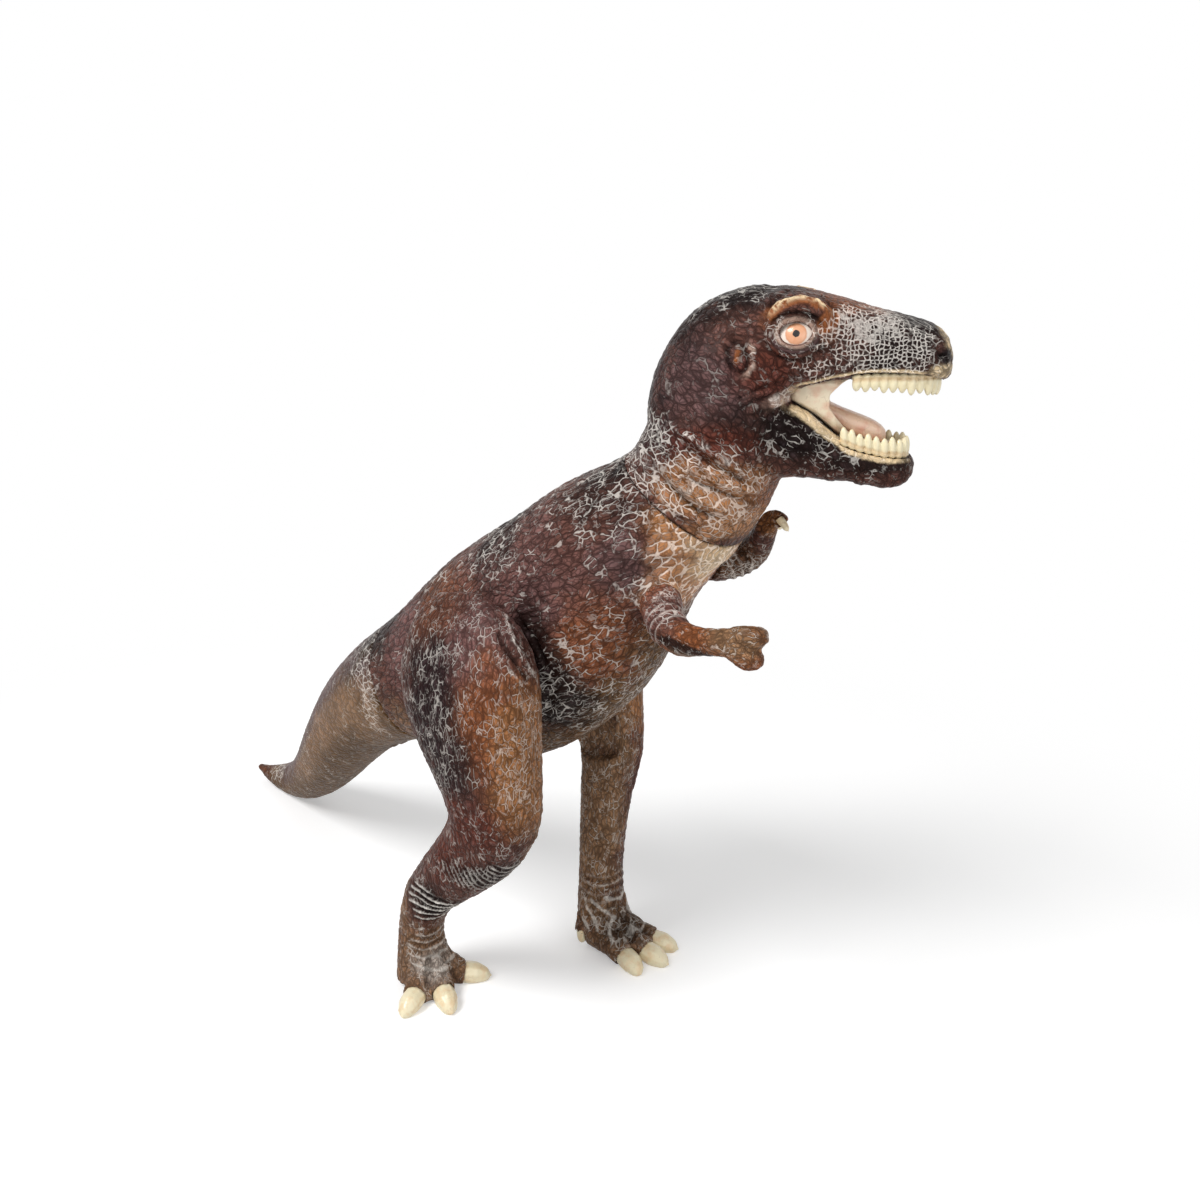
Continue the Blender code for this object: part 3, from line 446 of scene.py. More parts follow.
class Wiring:
    """Short hand for adding and linking nodes in one node tree."""

    def __init__(self, tree: bpy.types.NodeTree) -> None:
        """Keep the tree to work on."""
        self.tree = tree

    def put(self, socket: bpy.types.NodeSocket, value: object) -> None:
        """Link a socket, or set its value where it is given a number or a tuple."""
        if isinstance(value, bpy.types.NodeSocket):
            self.tree.links.new(value, socket)
        else:
            socket.default_value = value

    def feed(self, node: bpy.types.Node, inputs: dict[str, object]) -> bpy.types.Node:
        """Link or set the named inputs of a node, and return the node."""
        for name, value in inputs.items():
            self.put(node.inputs[name], value)
        return node

    def node(self, kind: str, **settings: object) -> bpy.types.Node:
        """Add a node and set its options."""
        made = self.tree.nodes.new(kind)
        for name, value in settings.items():
            setattr(made, name, value)
        return made

    def calc(self, operation: str, *values: object, clamp: bool = False) -> bpy.types.NodeSocket:
        """Work something out from sockets and numbers.

        Args:
            operation: name of the node's operation.
            values: the sockets and numbers that go in.
            clamp: whether the result is kept from 0 to 1.

        Returns:
            Socket with the result.
        """
        made = self.node("ShaderNodeMath", operation=operation, use_clamp=clamp)
        for socket, value in zip(made.inputs, values):
            self.put(socket, value)
        return made.outputs[0]

    def times(self, a: object, b: object, clamp: bool = False) -> bpy.types.NodeSocket:
        """Return one number times another."""
        return self.calc("MULTIPLY", a, b, clamp=clamp)

    def scaled(self, value: object, factor: object, start: object) -> bpy.types.NodeSocket:
        """Return a number times a factor, plus a start."""
        return self.calc("MULTIPLY_ADD", value, factor, start)

    def vector(self, operation: str, a: object, b: object) -> bpy.types.NodeSocket:
        """Work out a vector from two values, and return its socket."""
        made = self.node("ShaderNodeVectorMath", operation=operation)
        self.put(made.inputs[0], a)
        self.put(made.inputs["Scale"] if operation == "SCALE" else made.inputs[1], b)
        return made.outputs[0]

    def length(self, value: object) -> bpy.types.NodeSocket:
        """Return the length of a vector."""
        made = self.node("ShaderNodeVectorMath", operation="LENGTH")
        self.put(made.inputs[0], value)
        return made.outputs["Value"]

    def attribute(self, name: str, output: str) -> bpy.types.NodeSocket:
        """Return an output of one of the mesh's attributes."""
        return self.node("ShaderNodeAttribute", attribute_name=name).outputs[output]

    def place(self) -> bpy.types.NodeSocket:
        """Return the place on the object, in metres."""
        return self.node("ShaderNodeTexCoord").outputs["Object"]

    def split(self, colour: object) -> list[bpy.types.NodeSocket]:
        """Return the three parts of a colour."""
        made = self.node("ShaderNodeSeparateColor")
        self.put(made.inputs[0], colour)
        return made.outputs[:3]

    def drift(self, where: object, scale: float, width: float) -> bpy.types.NodeSocket:
        """Move places about at random.

        Args:
            where: socket with the places.
            scale: how close the turns of the drift lie.
            width: how wide the drift is.

        Returns:
            Socket with the vector to add to the places.
        """
        stray = self.vector("SUBTRACT", self.noise(where, scale, output="Color"), (0.5, 0.5, 0.5))
        return self.vector("SCALE", stray, width)

    def relief(self, shader: bpy.types.Node, height: object) -> None:
        """Give a shader fine relief, its height in millimetres."""
        bump = self.feed(self.node("ShaderNodeBump"), {"Distance": MM, "Strength": 1.0, "Height": height})
        self.put(shader.inputs["Normal"], bump.outputs[0])

    def window(self, value: object, middle: object, below: float, above: float) -> bpy.types.NodeSocket:
        """Return a soft rise from 0 to 1 that starts below a middle and ends above it."""
        return self.rise(value, self.calc("SUBTRACT", middle, below), self.calc("ADD", middle, above))

    def stripe(self, distance: object, half: object, core: float, soft: float) -> bpy.types.NodeSocket:
        """Return 1 on a line and 0 away from it.

        Args:
            distance: socket with the distance from its middle.
            half: socket with its half width.
            core: share of the half width that is full.
            soft: how far past the half width it fades.

        Returns:
            Socket with the line.
        """
        return self.fall(distance, self.times(half, core), self.calc("ADD", half, soft))

    def rise(self, value: object, low: object, high: object) -> bpy.types.NodeSocket:
        """Return 0 below low, 1 above high and a soft rise between them."""
        made = self.node("ShaderNodeMapRange", interpolation_type="SMOOTHSTEP")
        for socket, part in zip(made.inputs, (value, low, high, 0.0, 1.0)):
            self.put(socket, part)
        return made.outputs[0]

    def fall(self, value: object, low: object, high: object) -> bpy.types.NodeSocket:
        """Return 1 below low, 0 above high and a soft fall between them."""
        return self.calc("SUBTRACT", 1.0, self.rise(value, low, high))

    def mix(self, share: object, a: object, b: object, how: str = "MIX") -> bpy.types.NodeSocket:
        """Mix two colours.

        Args:
            share: share of the second colour.
            a, b: the colours.
            how: name of the way to mix.

        Returns:
            Socket with the mixed colour.
        """
        made = self.node("ShaderNodeMix", data_type="RGBA", blend_type=how, clamp_factor=True)
        for place, value in ((0, share), (6, a), (7, b)):
            self.put(made.inputs[place], value)
        return made.outputs[2]

    def noise(self, where: object, scale: float, detail: float = 2.0,
              output: str = "Fac") -> bpy.types.NodeSocket:
        """Return an output of a noise texture."""
        made = self.node("ShaderNodeTexNoise")
        return self.feed(made, {"Vector": where, "Scale": scale, "Detail": detail}).outputs[output]

    def cells(self, where: object, size: float, random: float = 1.0,
              flat: bool = False) -> bpy.types.NodeSocket:
        """Lay random cells.

        Args:
            where: socket with the places, in millimetres.
            size: width of a cell, in millimetres.
            random: how unlike the cells are, 0 to 1.
            flat: whether the cells lie in a sheet.

        Returns:
            Socket with the distance to the nearest edge of a cell, in millimetres.
        """
        made = self.node("ShaderNodeTexVoronoi", feature="DISTANCE_TO_EDGE",
                         voronoi_dimensions="2D" if flat else "3D")
        self.feed(made, {"Vector": where, "Scale": 1.0 / size, "Randomness": random})
        return self.times(made.outputs["Distance"], size)


def new_material(name: str) -> tuple[bpy.types.Material, bpy.types.Node, Wiring]:
    """Return a new material, the surface shader in it and the wiring of its tree."""
    material = bpy.data.materials.new(name)
    material.use_nodes = True
    return material, material.node_tree.nodes["Principled BSDF"], Wiring(material.node_tree)


@dataclass(frozen=True)
class HideGrain:
    """The cells of the hide, the same in the mesh and in the paint.

    Sizes are in millimetres. The cells are longest where the stretch is least, on axes that are tipped
    forward and up by the tilt, in degrees.
    """

    cell: float = 4.4
    small_cell: float = 2.2
    stretch: tuple[float, float, float] = (0.72, 1.0, 1.12)
    tilt: float = 0.0
    wander: float = 2.6
    wander_scale: float = 0.13

    def wire(self, wiring: Wiring, place: object) -> dict[str, bpy.types.NodeSocket]:
        """Add the pattern to a tree.

        Args:
            wiring: the tree to add to.
            place: socket with the place in metres.

        Returns:
            Sockets: the place in millimetres, the stretched place, and the distance to the edge of a
            cell and of a small cell.
        """
        millimetres = wiring.vector("SCALE", place, 1.0 / MM)
        turned = wiring.node("ShaderNodeVectorRotate", rotation_type="Y_AXIS")
        wiring.feed(turned, {"Vector": millimetres, "Angle": math.radians(self.tilt)})
        spot = wiring.vector("ADD", wiring.vector("MULTIPLY", turned.outputs[0], self.stretch),
                             wiring.drift(millimetres, self.wander_scale, self.wander * 2.0))
        return {
            "spot": spot,
            "millimetres": millimetres,
            "edge": wiring.cells(spot, self.cell),
            "small": wiring.cells(spot, self.small_cell),
        }


@dataclass(frozen=True)
class PaleWash:
    """The pale paint left in the creases: runs along them, and dashes along the small ones.

    Line is the half width of a pale line and soft its faded edge, in millimetres. Scales are turns in a
    millimetre. Pairs with uneven, level and cover are the factor and the start of a straight rule.
    """

    line: float = 0.34
    uneven: tuple[float, float] = (2.4, -0.25)
    soft: float = 0.12
    core: float = 0.55
    small: float = 0.55
    small_core: float = 0.4
    level: tuple[float, float] = (-0.27, 0.66)
    run_scale: float = 0.15
    run_window: tuple[float, float] = (0.05, 0.04)
    dash_scale: float = 0.40
    dash_window: tuple[float, float] = (0.02, 0.06)
    dash_limit: float = 1.12
    dash_cover: float = 0.8
    start: tuple[float, float] = (0.02, 0.25)
    cover: tuple[float, float] = (0.45, 0.55)

    def lay(self, w: Wiring, grain: dict[str, bpy.types.NodeSocket], wash: object, breadth: object,
            ragged: object) -> bpy.types.NodeSocket:
        """Lay the wash.

        Args:
            w: the tree to add to.
            grain: the pattern of the hide.
            wash: socket with the level of the wash.
            breadth: socket with the width of its lines.
            ragged: socket with the unevenness of their edges.

        Returns:
            Socket with how much pale paint there is, 0 to 1.
        """
        half = w.times(w.times(breadth, self.line), w.scaled(ragged, *self.uneven))
        line = w.stripe(grain["edge"], half, self.core, self.soft)
        small_line = w.stripe(grain["small"], w.times(half, self.small), self.small_core, self.soft)
        limit = w.scaled(wash, *self.level)
        runs = w.window(w.noise(grain["millimetres"], self.run_scale, 3.0), limit, *self.run_window)
        dashes = w.window(w.noise(grain["spot"], self.dash_scale), limit, *self.dash_window)
        thin = w.calc("SUBTRACT", self.dash_limit, breadth, clamp=True)
        dashes = w.times(w.times(small_line, dashes), w.times(thin, self.dash_cover))
        pale = w.calc("MAXIMUM", w.times(line, runs), dashes)
        return w.times(pale, w.times(w.rise(wash, *self.start), w.scaled(wash, *self.cover)))


@dataclass(frozen=True)
class Airbrush:
    """The sprayed paint, uneven from cell to cell, with a painted sheen on cell middles and dark creases.

    Pairs are the factor and the start of a straight rule, or the start and the end of a rise.
    """

    tone: tuple[float, float] = (0.30, 0.85)
    cloud_scale: float = 0.05
    cloud: tuple[float, float] = (0.6, 0.70)
    # The next five fields make the painted sheen: some cell middles lightened towards pale purple, standing
    # in for gloss highlights.
    middle: tuple[float, float] = (0.3, 1.4)
    chance: tuple[float, float] = (0.45, 0.9)
    painted_sheen: float = 0.55
    sheen_gain: float = 1.7
    sheen_tint: tuple[float, float, float] = (0.050, 0.038, 0.044)
    crease_paint: Tint = Tint(18, 8, 7)
    crease_cover: float = 0.95
    crease_share: float = 0.86

    def lay(self, w: Wiring, grain: dict[str, bpy.types.NodeSocket], size: float, paint: object,
            crease: object, deep: object) -> bpy.types.NodeSocket:
        """Lay the paint.

        Args:
            w: the tree to add to.
            grain: the pattern of the hide.
            size: width of a cell, in millimetres.
            paint: socket with the sprayed paint.
            crease: socket with the level of the dark paint.
            deep: socket with how dark each place is.

        Returns:
            Socket with the colour under the pale wash.
        """
        cells = w.node("ShaderNodeTexVoronoi", feature="F1", voronoi_dimensions="3D")
        w.feed(cells, {"Vector": grain["spot"], "Scale": 1.0 / size, "Randomness": 1.0})
        tone, chance, _ = w.split(cells.outputs["Color"])
        cloud = w.noise(grain["millimetres"], self.cloud_scale, 3.0)
        shade = w.times(w.scaled(tone, *self.tone), w.scaled(cloud, *self.cloud))
        grey = w.node("ShaderNodeCombineColor")
        for socket in grey.inputs[:3]:
            w.put(socket, shade)
        base = w.mix(1.0, paint, grey.outputs[0], "MULTIPLY")
        # Painted sheen: pale purple lightening of some cell middles, in place of gloss highlights.
        painted_sheen = w.times(w.rise(grain["edge"], *self.middle), w.rise(chance, *self.chance))
        sheen_tint = w.vector("ADD", w.vector("SCALE", paint, self.sheen_gain), self.sheen_tint)
        colour = w.mix(w.times(w.times(painted_sheen, crease), self.painted_sheen), base, sheen_tint)
        dark = w.mix(self.crease_share, base, self.crease_paint.linear())
        return w.mix(w.times(deep, self.crease_cover, clamp=True), colour, dark)


@dataclass(frozen=True)
class MuzzleNet:
    """The muzzle's fine square net of pale lines, smeared where the wash is strong.

    Cell and soft are in millimetres and scales are turns in a millimetre. Pairs are the factor and the
    start of a straight rule.
    """

    cell: float = 1.75
    random: float = 0.62
    stray_scale: float = 0.16
    stray: float = 3.6
    uneven_scale: float = 0.7
    uneven: tuple[float, float] = (0.78, -0.17)
    width: tuple[float, float] = (0.55, 0.45)
    core: float = 0.5
    soft: float = 0.14
    worn_scale: float = 0.3
    worn_from: tuple[float, float] = (-0.34, 0.62)
    worn_to: tuple[float, float] = (-0.30, 0.72)
    smear_scale: float = 0.42
    smear: tuple[float, float] = (-0.74, 1.15)
    smear_cover: float = 0.80

    def lay(self, w: Wiring, pale: object, net: object, wash: object) -> bpy.types.NodeSocket:
        """Lay the net over the wash.

        Args:
            w: the tree to add to.
            pale: socket with the pale wash of the other hide.
            net: socket with the share of the net.
            wash: socket with the level of the wash.

        Returns:
            Socket with the wash and the net together.
        """
        sheet = w.attribute("muzzle", "Vector")
        sheet = w.vector("ADD", sheet, w.drift(sheet, self.stray_scale, self.stray))
        edge = w.cells(sheet, self.cell, self.random, flat=True)
        half = w.times(w.scaled(w.noise(sheet, self.uneven_scale), *self.uneven), w.scaled(net, *self.width))
        line = w.stripe(edge, half, self.core, self.soft)
        worn = w.rise(w.noise(sheet, self.worn_scale), w.scaled(net, *self.worn_from),
                      w.scaled(net, *self.worn_to))
        level = w.scaled(wash, *self.smear)
        smear = w.rise(w.noise(sheet, self.smear_scale, 4.0), level, w.calc("ADD", level, self.soft))
        line = w.calc("MAXIMUM", w.times(line, worn), w.times(smear, self.smear_cover))
        rest = w.times(pale, w.calc("SUBTRACT", 1.0, net))
        return w.scaled(line, w.rise(net, 0.0, 0.5), rest)


@dataclass(frozen=True)
class VinylHide:
    """Painted soft vinyl with a creased hide, a pale wash in the creases and a satin coat.

    Strength is how well the pale paint covers, and pale_share how far it is the chalk's own colour and
    not a brighter shade of the paint below it. The creases are dark from edge to line, and the depths are
    those of the relief, all in millimetres. A hide has a net only on the muzzle.
    """

    name: str
    grain: HideGrain = HideGrain()
    net: MuzzleNet | None = None
    strength: float = 0.84
    pale_share: float = 0.80
    pale_gain: float = 3.2
    crease_edge: float = 0.12
    crease_line: float = 0.58
    small_edge: float = 0.05
    small_line: float = 0.29
    small_dark: float = 0.8
    crease_depth: float = 0.22
    small_depth: float = 0.14
    pore_depth: float = 0.10

    def make(self) -> bpy.types.Material:
        """Return the finished material."""
        material, shader, w = new_material(self.name)
        grain = self.grain.wire(w, w.place())
        paint = w.attribute("paint", "Color")
        wash, crease, breadth = w.split(w.attribute("marks", "Color"))
        ragged = w.noise(grain["millimetres"], 0.8, 3.0)
        dark_line = w.fall(grain["edge"], self.crease_edge, self.crease_line)
        dark_small = w.fall(grain["small"], self.small_edge, self.small_line)
        pale = PaleWash().lay(w, grain, wash, breadth, ragged)
        if self.net is not None:
            pale = self.net.lay(w, pale, w.attribute("marks", "Alpha"), wash)

        deep = w.times(w.calc("MAXIMUM", dark_line, w.times(dark_small, self.small_dark)), crease)
        colour = Airbrush().lay(w, grain, self.grain.cell, paint, crease, deep)
        bright = w.mix(1.0, paint, (self.pale_gain, self.pale_gain, self.pale_gain, 1.0), "MULTIPLY")
        chalk = w.mix(1.0 - self.pale_share, Paint.CHALK.value.linear(), bright)
        w.feed(shader, {
            "Base Color": w.mix(w.times(pale, self.strength, clamp=True), colour, chalk),
            "Roughness": w.scaled(ragged, 0.14, w.scaled(pale, 0.25, 0.27)),
            "Coat Weight": 0.03,
            "Coat Roughness": 0.25,
            "Specular IOR Level": 0.04,
        })
        height = w.scaled(dark_small, -self.small_depth, w.times(dark_line, -self.crease_depth))
        w.relief(shader, w.scaled(w.noise(grain["millimetres"], 1.7, 3.0), self.pore_depth, height))
        return material


class Layer(Enum):
    """The kinds of values kept on the points of a mesh: the kind's name, and the field that holds it."""

    COLOUR = ("FLOAT_COLOR", "color")
    PLACE = ("FLOAT_VECTOR", "vector")
    NUMBER = ("FLOAT", "value")

    def keep(self, piece: bpy.types.Object, name: str, values: np.ndarray) -> None:
        """Keep a value for every point of a piece."""
        kind, item = self.value
        layer = piece.data.attributes.new(name, kind, "POINT")
        layer.data.foreach_set(item, values.astype(np.float32).ravel())


def linked(name: str, data: bpy.types.ID) -> bpy.types.Object:
    """Put a mesh, a lamp or a camera in the scene as an object at the origin."""
    made = bpy.data.objects.new(name, data)
    bpy.context.scene.collection.objects.link(made)
    return made


def taken_off(bm: bmesh.types.BMesh, name: str) -> bpy.types.Object:
    """Turn a mesh under work into an object at the origin."""
    mesh = bpy.data.meshes.new(name)
    bm.to_mesh(mesh)
    bm.free()
    return linked(name, mesh)


def settle(piece: bpy.types.Object) -> None:
    """Apply every modifier of a piece to its mesh."""
    ready = piece.evaluated_get(bpy.context.evaluated_depsgraph_get())
    mesh = bpy.data.meshes.new_from_object(ready)
    piece.modifiers.clear()
    old = piece.data
    piece.data = mesh
    bpy.data.meshes.remove(old)


def recast(piece: bpy.types.Object, grain: float) -> bpy.types.Object:
    """Cast a piece again as one skin of even facets, grain millimetres wide, and return it."""
    tool = piece.modifiers.new("recast", "REMESH")
    tool.mode = "VOXEL"
    tool.voxel_size = grain * MM
    tool.adaptivity = 0.0
    settle(piece)
    return piece


def merged(node: str) -> bmesh.types.BMesh:
    """Return a copy of a node's solid to work on, with its loose triangles merged."""
    bm = bmesh.new()
    bm.from_mesh(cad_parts[node].data)
    bmesh.ops.remove_doubles(bm, verts=bm.verts, dist=MM * 0.001)
    return bm


def tree_of(node: str) -> BVHTree:
    """Return a search tree of a node's faces."""
    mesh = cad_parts[node].data
    return BVHTree.FromPolygons([v.co for v in mesh.vertices], [p.vertices for p in mesh.polygons])


def placed(piece: bpy.types.Object, material: bpy.types.Material, body: str, node: str) -> bpy.types.Object:
    """Dress a finished piece and put it in place of its node.

    Args:
        piece: the finished piece.
        material: its paint.
        body: the moving body that it rides on.
        node: the node that it replaces.

    Returns:
        The piece.
    """
    piece.data.polygons.foreach_set("use_smooth", [True] * len(piece.data.polygons))
    piece.data.materials.clear()
    piece.data.materials.append(material)
    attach(piece, body)
    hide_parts(node)
    log.info("%s: %d facets", piece.name, len(piece.data.polygons))
    return piece


STEP_IN = 0.50
STEP_OUT = -0.53


class Clay:
    """The skin of one piece while it is worked: its points, edges and normals as arrays."""

    def __init__(self, piece: bpy.types.Object) -> None:
        """Take the points and edges of a piece."""
        self.piece = piece
        self.points = self._read(piece.data.vertices, "co", 3)
        self.edges = self._read(piece.data.edges, "vertices", 2, int)
        self.free = np.ones(len(self.points))

    @staticmethod
    def _read(items: object, name: str, width: int, kind: type = float) -> np.ndarray:
        """Read one property of every item.

        Args:
            items: the items of the mesh.
            name: the property.
            width: how many numbers it has.
            kind: float or int.

        Returns:
            The numbers, one row for each item.
        """
        values = np.zeros(len(items) * width, np.float32 if kind is float else np.int32)
        items.foreach_get(name, values)
        return values.reshape(-1, width).astype(kind)

    def normals(self) -> np.ndarray:
        """Return the normal at each point of the mesh as it now is."""
        self.write()
        return self._read(self.piece.data.vertex_normals, "vector", 3)

    def write(self) -> None:
        """Put the points back in the mesh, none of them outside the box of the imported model."""
        self.points = np.clip(self.points, np.array(CAD_BOX[0]), np.array(CAD_BOX[1]))
        self.piece.data.vertices.foreach_set("co", self.points.astype(np.float32).ravel())
        self.piece.data.update()

    def relax(self, rounds: int) -> None:
        """Smooth the free points, each round a step in and one out, so that the piece doesn't shrink."""
        first, second = self.edges[:, 0], self.edges[:, 1]
        count = len(self.points)
        degree = np.maximum(np.bincount(self.edges.ravel(), minlength=count), 1)
        for step in (STEP_IN, STEP_OUT) * rounds:
            for axis in range(3):
                line = self.points[:, axis]
                total = np.bincount(first, line[second], count) + np.bincount(second, line[first], count)
                line += step * self.free * (total / degree - line)

    def raise_by(self, millimetres: np.ndarray) -> None:
        """Move the points along their normals."""
        self.points += self.normals() * (millimetres * MM * self.free)[:, None]


INNER_CUT = 0.93                                     # share of the inner facets that is taken away
RAY_LIFT = 0.05 * MM
RAY_FACING = 0.25                                    # least cosine between a face and a ray from it
NEIGHBOUR_REACH = 3.0 * MM
NEIGHBOUR_LEAST = 0.5                                # millimetres from a neighbour that stay free
NEIGHBOUR_FADE = 2.0
GROOVE_SIDES = (0.15, 1.05)                          # millimetres from a cell's edge, deep and level
LUMP_SIZE = 0.9                                      # centimetres
LUMP_HEIGHT = 0.22                                   # millimetres
TINT_GAIN = 1.5                                      # a tint covers before its fold is at its height
TINT_CLEARS = 0.65                                   # share of the dark creases that a tint covers
# How much painted shade darkens the bottom of a fold or of a band's crease.
HOLLOW_SHADE = 0.75
# How much chalk the crests of the folds take: a dry brush, which on the ridges is also a painted highlight.
CREST_PALE = 0.6
BAND_PALE = 0.55
PATCHES = Specks(((0.15, 8, 0.65), (0.06, 9, 0.35)), 0.36, 0.54)
BAND_DASHES = Specks(((0.32, 11, 1.1),), 0.97, 1.27)
CREST_SPECKS = Specks(((0.13, 4, 0.6), (0.3, 6, 0.4)), 0.66, 0.84)
CREST_START = 0.30                                   # how much more easily the crests take specks


@dataclass
class Moulding:
    """One hollow vinyl moulding of the figure: where it is, its skin and how it is painted.

    Grain is the width of the skin's facets and groove the depth of the hide's cells, in millimetres,
    and rounds say how smooth the solid is made. Nothing grows into the nodes to keep clear of. Folds,
    bands, sprays and rubs are on the measure's axes. Wash, crease and breadth are the levels of the
    pattern where no rub changes them.
    """

    name: str
    node: str
    body: str
    slot: str
    measure: Measure
    base: Paint
    grain: float = 0.8
    rounds: int = 24
    keep_clear: tuple[str, ...] = ()
    folds: tuple[Fold, ...] = ()
    bands: tuple[Bands, ...] = ()
    sprays: tuple[Spray, ...] = ()
    rubs: tuple[Rub, ...] = ()
    wash: float = 0.2
    crease: float = 0.75
    breadth: float = 0.6
    hide: VinylHide = VinylHide("hide")
    groove: float = 0.28

    def build(self) -> bpy.types.Object:
        """Make, work, paint and place the moulding."""
        bm = merged(self.node)
        self._extra(bm)
        piece = recast(taken_off(bm, self.name), self.grain)
        self._thin_inside(piece)
        clay = Clay(piece)
        clay.free = self._outside(clay.points)
        clay.relax(self.rounds)
        places, crest, hollow, tints = self._work(clay)
        self._score(clay)
        clay.write()
        self._paint(clay, places, crest, hollow, tints)
        return placed(piece, self.hide.make(), self.body, self.node)

    def _extra(self, bm: bmesh.types.BMesh) -> None:
        """Add what is fused with the moulding before it is cast. A plain moulding adds nothing."""

    def _outside(self, points: np.ndarray) -> np.ndarray:
        """Tell the outer skin from the inside of the hollow.

        A face of the solid counts as inner where every one of a spread of rays from it meets the
        moulding again, and a point takes the side of the face nearest to it.

        Args:
            points: places in the row frame, in metres.

        Returns:
            1 for each place on the outer skin and 0 for each one inside.
        """
        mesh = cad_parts[self.node].data
        tree = tree_of(self.node)
        rays = [Vector(d).normalized() for d in product((-1, 0, 1), repeat=3) if any(d)]
        inner = []
        for polygon in mesh.polygons:
            start = polygon.center + polygon.normal * RAY_LIFT
            ahead = [d for d in rays if d.dot(polygon.normal) > RAY_FACING]
            inner.append(all(tree.ray_cast(start, d)[0] is not None for d in ahead))
        return np.array([0.0 if inner[tree.find_nearest(p)[2]] else 1.0 for p in points])

    def _thin_inside(self, piece: bpy.types.Object) -> None:
        """Give the inner wall of the hollow fewer, larger facets."""
        points = Clay(piece).points
        inner = np.nonzero(self._outside(points) < 0.5)[0]
        if not len(inner):
            return
        group = piece.vertex_groups.new(name="inner")
        group.add([int(i) for i in inner], 1.0, "REPLACE")
        tool = piece.modifiers.new("thin", "DECIMATE")
        tool.vertex_group = "inner"
        tool.ratio = 1.0 - INNER_CUT * len(inner) / len(points)
        settle(piece)
        piece.vertex_groups.clear()

    def _clearance(self, points: np.ndarray) -> np.ndarray:
        """Find how free points are to move outwards.

        Args:
            points: places in the row frame, in metres.

        Returns:
            0 for a point next to a neighbour, and up to 1 away from it.
        """
        room = np.ones(len(points))
        for neighbour in self.keep_clear:
            tree = tree_of(neighbour)
            low, high = (np.array(corner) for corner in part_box(neighbour))
            near = np.all((points > low - NEIGHBOUR_REACH) & (points < high + NEIGHBOUR_REACH), axis=1)
            for number in np.nonzero(near)[0]:
                found = tree.find_nearest(points[number], NEIGHBOUR_REACH)
                if found[0] is not None:
                    free = (found[3] / MM - NEIGHBOUR_LEAST) / NEIGHBOUR_FADE
                    room[number] = min(room[number], max(0.0, free))
        return np.clip(room, 0.0, 1.0)

    def _work(self, clay: Clay) -> tuple[np.ndarray, np.ndarray, np.ndarray, list[tuple]]:
        """Raise the folds and press the creases.

        Args:
            clay: the skin of the moulding.

        Returns:
            The places on the moulding's axes before the work, the pale crest and the painted shade in the
            hollow of the folds at each point, and the tinted folds with their reach.
        """
        places = self.measure.of(clay.points)
        normals = clay.normals()
        side = self.measure.of(clay.points + normals * MM)[:, 1] - places[:, 1]
        sideways = np.clip(side / (MM / CM), 0.0, 1.0)
        crest, hollow = np.zeros(len(places)), np.zeros(len(places))
        tints = []
        rise = np.zeros(len(places))
        for fold in self.folds:
            near, height = fold.profile(places, sideways)
            rise[near] += height * fold.height
            # Pale crest: a dry brush, which on the ridges also stands in for a painted highlight.
            crest[near] = np.maximum(crest[near], height * fold.pale)
            # Painted shade: the bottom of the fold is darkened.
            hollow[near] = np.maximum(hollow[near], height * fold.dark)
            if fold.patchy:
                height = height * PATCHES.of(places[near])
            if fold.tint is not None:
                tints.append((fold.tint, near, height))
        for band in self.bands:
            height = band.profile(places)
            rise += height * band.height
            dashes = BAND_DASHES.of(places, height) * band.pale * BAND_PALE
            tints.append((Paint.CHALK, np.arange(len(places)), dashes))
            # Painted shade in the creases between the bands.
            hollow = np.maximum(hollow, np.clip(-height, 0.0, 1.0) * band.dark)
        rise += (clouds(places, LUMP_SIZE, 3) - 0.5) * LUMP_HEIGHT
        outward = np.where(rise > 0.0, rise * self._clearance(clay.points), rise)
        clay.raise_by(outward)
        clay.relax(1)
        return places, crest, hollow, tints

    def _score(self, clay: Clay) -> None:
        """Press the cells of the hide into the skin, by the same pattern that the paint follows."""
        clay.write()
        name = "cell_edge"
        tree = bpy.data.node_groups.new(self.name + "_score", "GeometryNodeTree")
        for way in ("INPUT", "OUTPUT"):
            tree.interface.new_socket("Geometry", in_out=way, socket_type="NodeSocketGeometry")
        w = Wiring(tree)
        start, end = w.node("NodeGroupInput"), w.node("NodeGroupOutput")
        grain = self.hide.grain.wire(w, w.node("GeometryNodeInputPosition").outputs[0])
        keep = w.node("GeometryNodeStoreNamedAttribute", data_type="FLOAT", domain="POINT")
        w.feed(keep, {"Geometry": start.outputs[0], "Name": name, "Value": grain["edge"]})
        w.put(end.inputs[0], keep.outputs[0])
        clay.piece.modifiers.new("score", "NODES").node_group = tree
        settle(clay.piece)
        values = np.zeros(len(clay.points), np.float32)
        clay.piece.data.attributes[name].data.foreach_get("value", values)
        clay.piece.data.attributes.remove(clay.piece.data.attributes[name])
        bpy.data.node_groups.remove(tree)
        line = 1.0 - smooth_step(values.astype(float), *GROOVE_SIDES)
        clay.raise_by(-line * self.groove)

